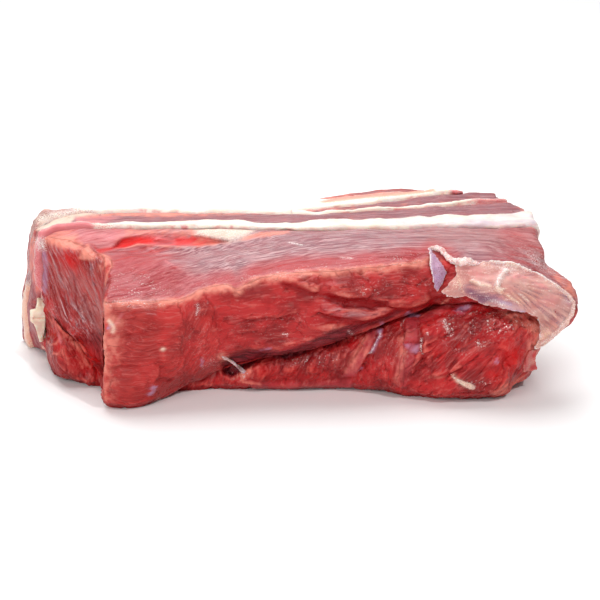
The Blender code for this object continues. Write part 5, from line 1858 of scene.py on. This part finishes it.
# Round strands of membrane and tendon. Each point is (pixel, radius in millimetres, lift in millimetres).
WHITE_ROLL = (
    ((428, 248), 0.6, 1.0), ((433, 247.5), 1.1, 1.6), ((440, 249), 1.2, 1.8), ((445, 254), 1.0, 1.6),
    ((449, 259), 1.2, 1.7), ((455, 262), 1.4, 1.8), ((462, 262), 1.6, 1.9), ((468, 261), 1.7, 1.9),
    ((474, 264), 1.2, 1.6), ((480, 263.5), 0.6, 1.2),
)
POCKET_STRAND = (
    ((222, 356), 0.5, 0.0), ((226, 358.5), 0.75, 0.5), ((231, 361), 0.5, 1.2), ((235.5, 364.5), 0.42, 1.9),
    ((239, 368), 0.42, 1.7), ((242.5, 371), 0.6, 0.8), ((245, 373.5), 0.8, 0.0),
)
POCKET_THREAD = (
    ((229, 359), 0.3, 0.2), ((234, 362), 0.28, 1.2), ((240, 366.5), 0.26, 1.6), ((245, 371), 0.3, 0.8),
    ((248, 374), 0.35, 0.0),
)
CREAM_SLIVER = (
    ((450.5, 373.5), 0.3, 0.0), ((454, 377.5), 0.45, 0.25), ((459, 381), 0.5, 0.3), ((463, 383), 0.75, 0.35),
    ((468, 385.5), 1.0, 0.4), ((472, 387), 1.15, 0.35), ((475, 388.5), 0.7, 0.1),
)
SHEET_HEM = (
    ((548, 279), 0.3, 0.0), ((556, 285), 0.5, 0.2), ((566, 293), 0.7, 0.3), ((573, 301), 0.85, 0.3),
    ((573.5, 309), 0.8, 0.3), ((569, 318), 0.9, 0.3), ((562, 327), 1.0, 0.35), ((553, 335), 0.9, 0.3),
    ((545, 341), 0.9, 0.3), ((538, 346), 0.5, 0.0),
)
# Each strand: its points, how frayed it is, how flat it is, and its marks.
STRANDS = {
    "white_roll": (WHITE_ROLL, 0.45, 0.7, {"white": 0.75, "pink": 0.5}),
    "sheet_hem": (SHEET_HEM, 0.5, 0.45, {"cream": 0.55, "white": 0.4, "film": 0.3}),
    "pocket_strand": (POCKET_STRAND, 0.3, 0.6, {"white": 0.5, "lilac": 0.35}),
    "pocket_thread": (POCKET_THREAD, 0.2, 0.7, {"white": 0.7, "lilac": 0.2}),
    "cream_sliver": (CREAM_SLIVER, 0.3, 0.35, {"cream": 0.7, "peach": 0.45}),
}
STRAND_RINGS = 46
STRAND_SIDES = 18


def make_strand(name, meats):
    """A strand of membrane: a round bar, drawn along its line on the meat, with a frayed surface."""
    places_along, fray, flatness, marks = STRANDS[name]
    line = trace([pixel for pixel, _, _ in places_along], meats)
    places = np.linspace(0, 1, len(places_along))
    share = np.linspace(0, 1, len(line))
    radius = np.interp(share, places, [r for _, r, _ in places_along])
    lift = np.interp(share, places, [h for _, _, h in places_along])
    bar = bpy.ops.mesh.primitive_cylinder_add
    piece = new_piece(bar, name, vertices=STRAND_SIDES, radius=1, depth=1, end_fill_type="NGON")
    pick_nothing("EDGE")
    for edge in piece.data.edges:
        a, b = (piece.data.vertices[i].co for i in edge.vertices)
        edge.select = abs(a.z - b.z) > 0.5
    edit(bpy.ops.mesh.subdivide, number_cuts=STRAND_RINGS - 1)
    unit = np.array([v.co[:] for v in piece.data.vertices])
    along = np.clip(unit[:, 2] + 0.5, 0, 1)
    centre = np.stack([np.interp(along, share, line[:, k]) for k in range(3)], 1)
    ahead = np.gradient(line, axis=0)
    ahead = np.stack([np.interp(along, share, ahead[:, k]) for k in range(3)], 1)
    ahead /= np.linalg.norm(ahead, axis=1)[:, None]
    sideways = np.cross(ahead, BACKWARDS)
    sideways /= np.linalg.norm(sideways, axis=1)[:, None]
    outwards = np.cross(sideways, ahead)
    closed = np.sqrt(np.clip(1 - (np.abs(along - 0.5) * 2) ** 8, 0, 1)) + 0.05
    size = np.interp(along, share, radius) * closed
    torn = 1 + fray * rough(np.column_stack([along * 26, unit[:, :2] * 1.3]), 3, 97)
    reach = (unit[:, :1] * sideways + unit[:, 1:2] * outwards * flatness) * (size * torn)[:, None]
    points = centre + BACKWARDS * np.interp(along, share, lift)[:, None] * 0.8 + reach
    piece.data.vertices.foreach_set("co", (points * MM).ravel())
    piece.data.update()
    edit_whole(piece, bpy.ops.mesh.normals_make_consistent, inside=False)
    rounded = piece.modifiers.new("rounded", "SUBSURF")
    rounded.levels = rounded.render_levels = 1
    apply_all(piece)
    strand = Flesh(piece, "silverskin")
    strand.marks["lay"] = strand.points.copy()
    for seed, (mark, strength) in enumerate(marks.items()):
        strand.mark(mark, strength * (0.8 + 0.35 * ripple(strand.points / 2, 98 + seed)))
    frayed = rough(strand.points / 1.6, 2, 99) * fray * 0.55
    strand.points = strand.points + strand.normals * frayed[:, None]
    strand.look()
    strand.keep_marks()
    return strand


RIGHT_FLAP_OUTLINE = (
    (530, 350), (538.5, 349), (537, 354), (535.6, 359), (536.5, 364), (537.5, 369), (530, 372), (524, 373),
    (524, 367), (527, 358),
)
# Where the flap turns cream towards its left edge.
FLAP_CREAM_EDGE = (527, 523.5)


def make_right_flap(meats):
    """The peach flap that hangs from the tip of the silverskin to the floor."""
    flap = lay_sheet("right_flap", RIGHT_FLAP_OUTLINE, meats, 0.9, 0.6, pitch=0.8)
    flap.marks["lay"] = flap.points.copy()
    flap.mark("peach", np.full(flap.count, 0.6))
    flap.mark("red", 0.85 + 0.3 * ripple(flap.points / 3, 105))
    flap.mark("cream", step(*FLAP_CREAM_EDGE, flap.px) * 0.9)
    flap.points = flap.points + flap.normals * (rough(flap.points / 4, 2, 106) * 0.4)[:, None]
    flap.look()
    thicken(flap)
    return flap


def sculpt_all():
    fleshes = {node: flesh_of_node(node, voxel) for node, voxel in VOXELS.items()}
    for node, flesh in fleshes.items():
        flesh.melt(MELTS[node])
        flesh.points = flesh.points + shared_warp(flesh.points)
        flesh.stay_above_floor()
        flesh.look()
        if node in SWELLS:
            flesh.raise_by(np.full(flesh.count, SWELLS[node]))
            flesh.look()
    for flesh in fleshes.values():
        fit_left_side(flesh)
        flesh.look()
        push_in_picture(flesh)
        flesh.look()
    shape_tendon(fleshes["tendon"])
    bpy.context.view_layer.update()
    everything = list(fleshes.values())
    front, lower = fleshes["front_muscle"], fleshes["lower_muscle"]
    for flesh in everything:
        swell(flesh, END_SWELLS)
    folds = {}
    for name, (pixels, width, depth) in FOLDS.items():
        line = trace(pixels, everything)
        if line is not None:
            folds[name] = (line, width, depth)
    main_crease = trace(MAIN_CREASE, [front])
    end_patch = carve_end(front)
    draw_back_lobe(front)
    draw_back_lobe(lower)
    for flesh in (front, lower, fleshes["fat_seam"]):
        make_room(flesh)
    make_room(fleshes["fat_seam"], LEAF_TIP)
    for flesh in (front, lower):
        swell(flesh, BUMPS)
        crease(flesh, folds)
        pocket, underside = flesh.patch(STRAND_POCKET, 3.0), flesh.patch(UNDERSIDE, 3.5)
        sunk = np.maximum(pocket * POCKET_DEPTH, underside * UNDERSIDE_DEPTH)
        push_back(flesh, flesh.spread(sunk, 3))
        flesh.look()
    open_main_crease(fleshes, main_crease)
    tuck_under(front)
    tuck_under(lower)
    sculpt_front(front, end_patch)
    sculpt_lower(lower)
    sculpt_layer(fleshes["middle_muscle"], 31)
    sculpt_layer(fleshes["back_muscle"], 35)
    sculpt_layer(fleshes["outer_muscle"], 39, 0.5)
    for seed, node in ((43, "fat_seam"), (47, "thin_seam"), (51, "back_fat"), (55, "tendon")):
        sculpt_fat(fleshes[node], seed, 0 if node == "tendon" else 0.5)
    bpy.context.view_layer.update()
    lines = {name: trace(entry[1], everything) for name, entry in LINES.items()}
    for flesh in everything:
        paint(flesh, lines)
    bpy.context.view_layer.update()
    sheets = sculpt_silverskin([front, lower])
    sheets.append(make_right_flap([front, lower]))
    strands = [make_strand(name, [front, lower, sheets[0]]) for name in STRANDS]
    return fleshes, sheets + strands


FINISHES = {
    "front_muscle": ("front", "front_muscle"),
    "lower_muscle": ("lower", "lower_muscle"),
    "fat_seam": ("white", "fat"),
    "middle_muscle": ("inner", "inner_muscle"),
    "thin_seam": ("white", "fat"),
    "back_muscle": ("inner", "inner_muscle"),
    "back_fat": ("cream", "back_fat"),
    "outer_muscle": ("outer", "outer_muscle"),
    "tendon": ("tendon", "tendon"),
}


def thin_out(flesh):
    """Leaves fewer triangles where a piece has more than its budget."""
    mesh = flesh.piece.data
    triangles = sum(len(face.vertices) - 2 for face in mesh.polygons)
    if triangles > TRIANGLE_LIMIT:
        fewer = flesh.piece.modifiers.new("fewer faces", "DECIMATE")
        fewer.ratio = TRIANGLE_LIMIT / triangles
        apply_all(flesh.piece)


def dress(fleshes, sheets, materials):
    for node, flesh in fleshes.items():
        flesh.write()
        flesh.keep_marks()
        thin_out(flesh)
        flesh.piece.data.shade_smooth()
        finish, slot = FINISHES[node]
        flesh.piece.data.materials.append(materials[finish])
        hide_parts(node)
        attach(flesh.piece, "root")
    for sheet in sheets:
        sheet.piece.data.shade_smooth()
        sheet.piece.data.materials.clear()
        sheet.piece.data.materials.append(materials["silver"])
        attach(sheet.piece, "root")
    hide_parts("silverskin")


# ---------------------------------------------------------------- floor, light and camera

def area_light(name, place, target, width, height, power):
    light = bpy.data.lights.new(name, "AREA")
    light.shape = "RECTANGLE"
    light.size = width
    light.size_y = height
    light.energy = power
    obj = bpy.data.objects.new(name, light)
    bpy.context.scene.collection.objects.link(obj)
    obj.location = place
    obj.rotation_euler = (Vector(target) - Vector(place)).to_track_quat("-Z", "Y").to_euler()


SKY_LIGHT = 0.26


def make_stage():
    bpy.ops.object.select_all(action="DESELECT")
    bpy.ops.mesh.primitive_plane_add(size=8, location=(0, 0, 0))
    floor = bpy.context.active_object
    floor.name = "floor"
    material = bpy.data.materials.new("pale_floor")
    material.use_nodes = True
    surface = material.node_tree.nodes["Principled BSDF"]
    surface.inputs["Base Color"].default_value = (0.93, 0.93, 0.93, 1)
    surface.inputs["Roughness"].default_value = 0.7
    floor.data.materials.append(material)
    world = bpy.data.worlds.new("studio")
    world.use_nodes = True
    world.node_tree.nodes["Background"].inputs["Color"].default_value = (1, 1, 1, 1)
    world.node_tree.nodes["Background"].inputs["Strength"].default_value = SKY_LIGHT
    bpy.context.scene.world = world
    middle = (0, 0, 0.03)
    area_light("top soft light", (-0.1, 0.35, 0.9), middle, 0.8, 0.8, 9.0)
    area_light("far soft light", (0, 1.2, 1.1), (0, 1.0, 0), 1.6, 0.5, 6.0)
    area_light("front soft light", (-0.55, -0.85, 0.55), middle, 0.7, 0.5, 5.0)
    area_light("small bright light", (0.35, -0.6, 0.75), middle, 0.06, 0.06, 3.0)


def make_camera():
    lens = bpy.data.cameras.new("camera")
    lens.sensor_width = SENSOR_WIDTH
    lens.lens = LENS_PIXELS / PICTURE_SIDE * SENSOR_WIDTH
    lens.clip_start = 0.05
    camera = bpy.data.objects.new("camera", lens)
    bpy.context.scene.collection.objects.link(camera)
    camera.location = CAMERA_PLACE * MM
    camera.rotation_euler = Vector(-BACKWARDS).to_track_quat("-Z", "Y").to_euler()
    bpy.context.scene.camera = camera
    bpy.context.scene.view_settings.view_transform = "Standard"


def main():
    make_camera()
    make_stage()
    materials = make_materials()
    fleshes, sheets = sculpt_all()
    dress(fleshes, sheets, materials)


main()
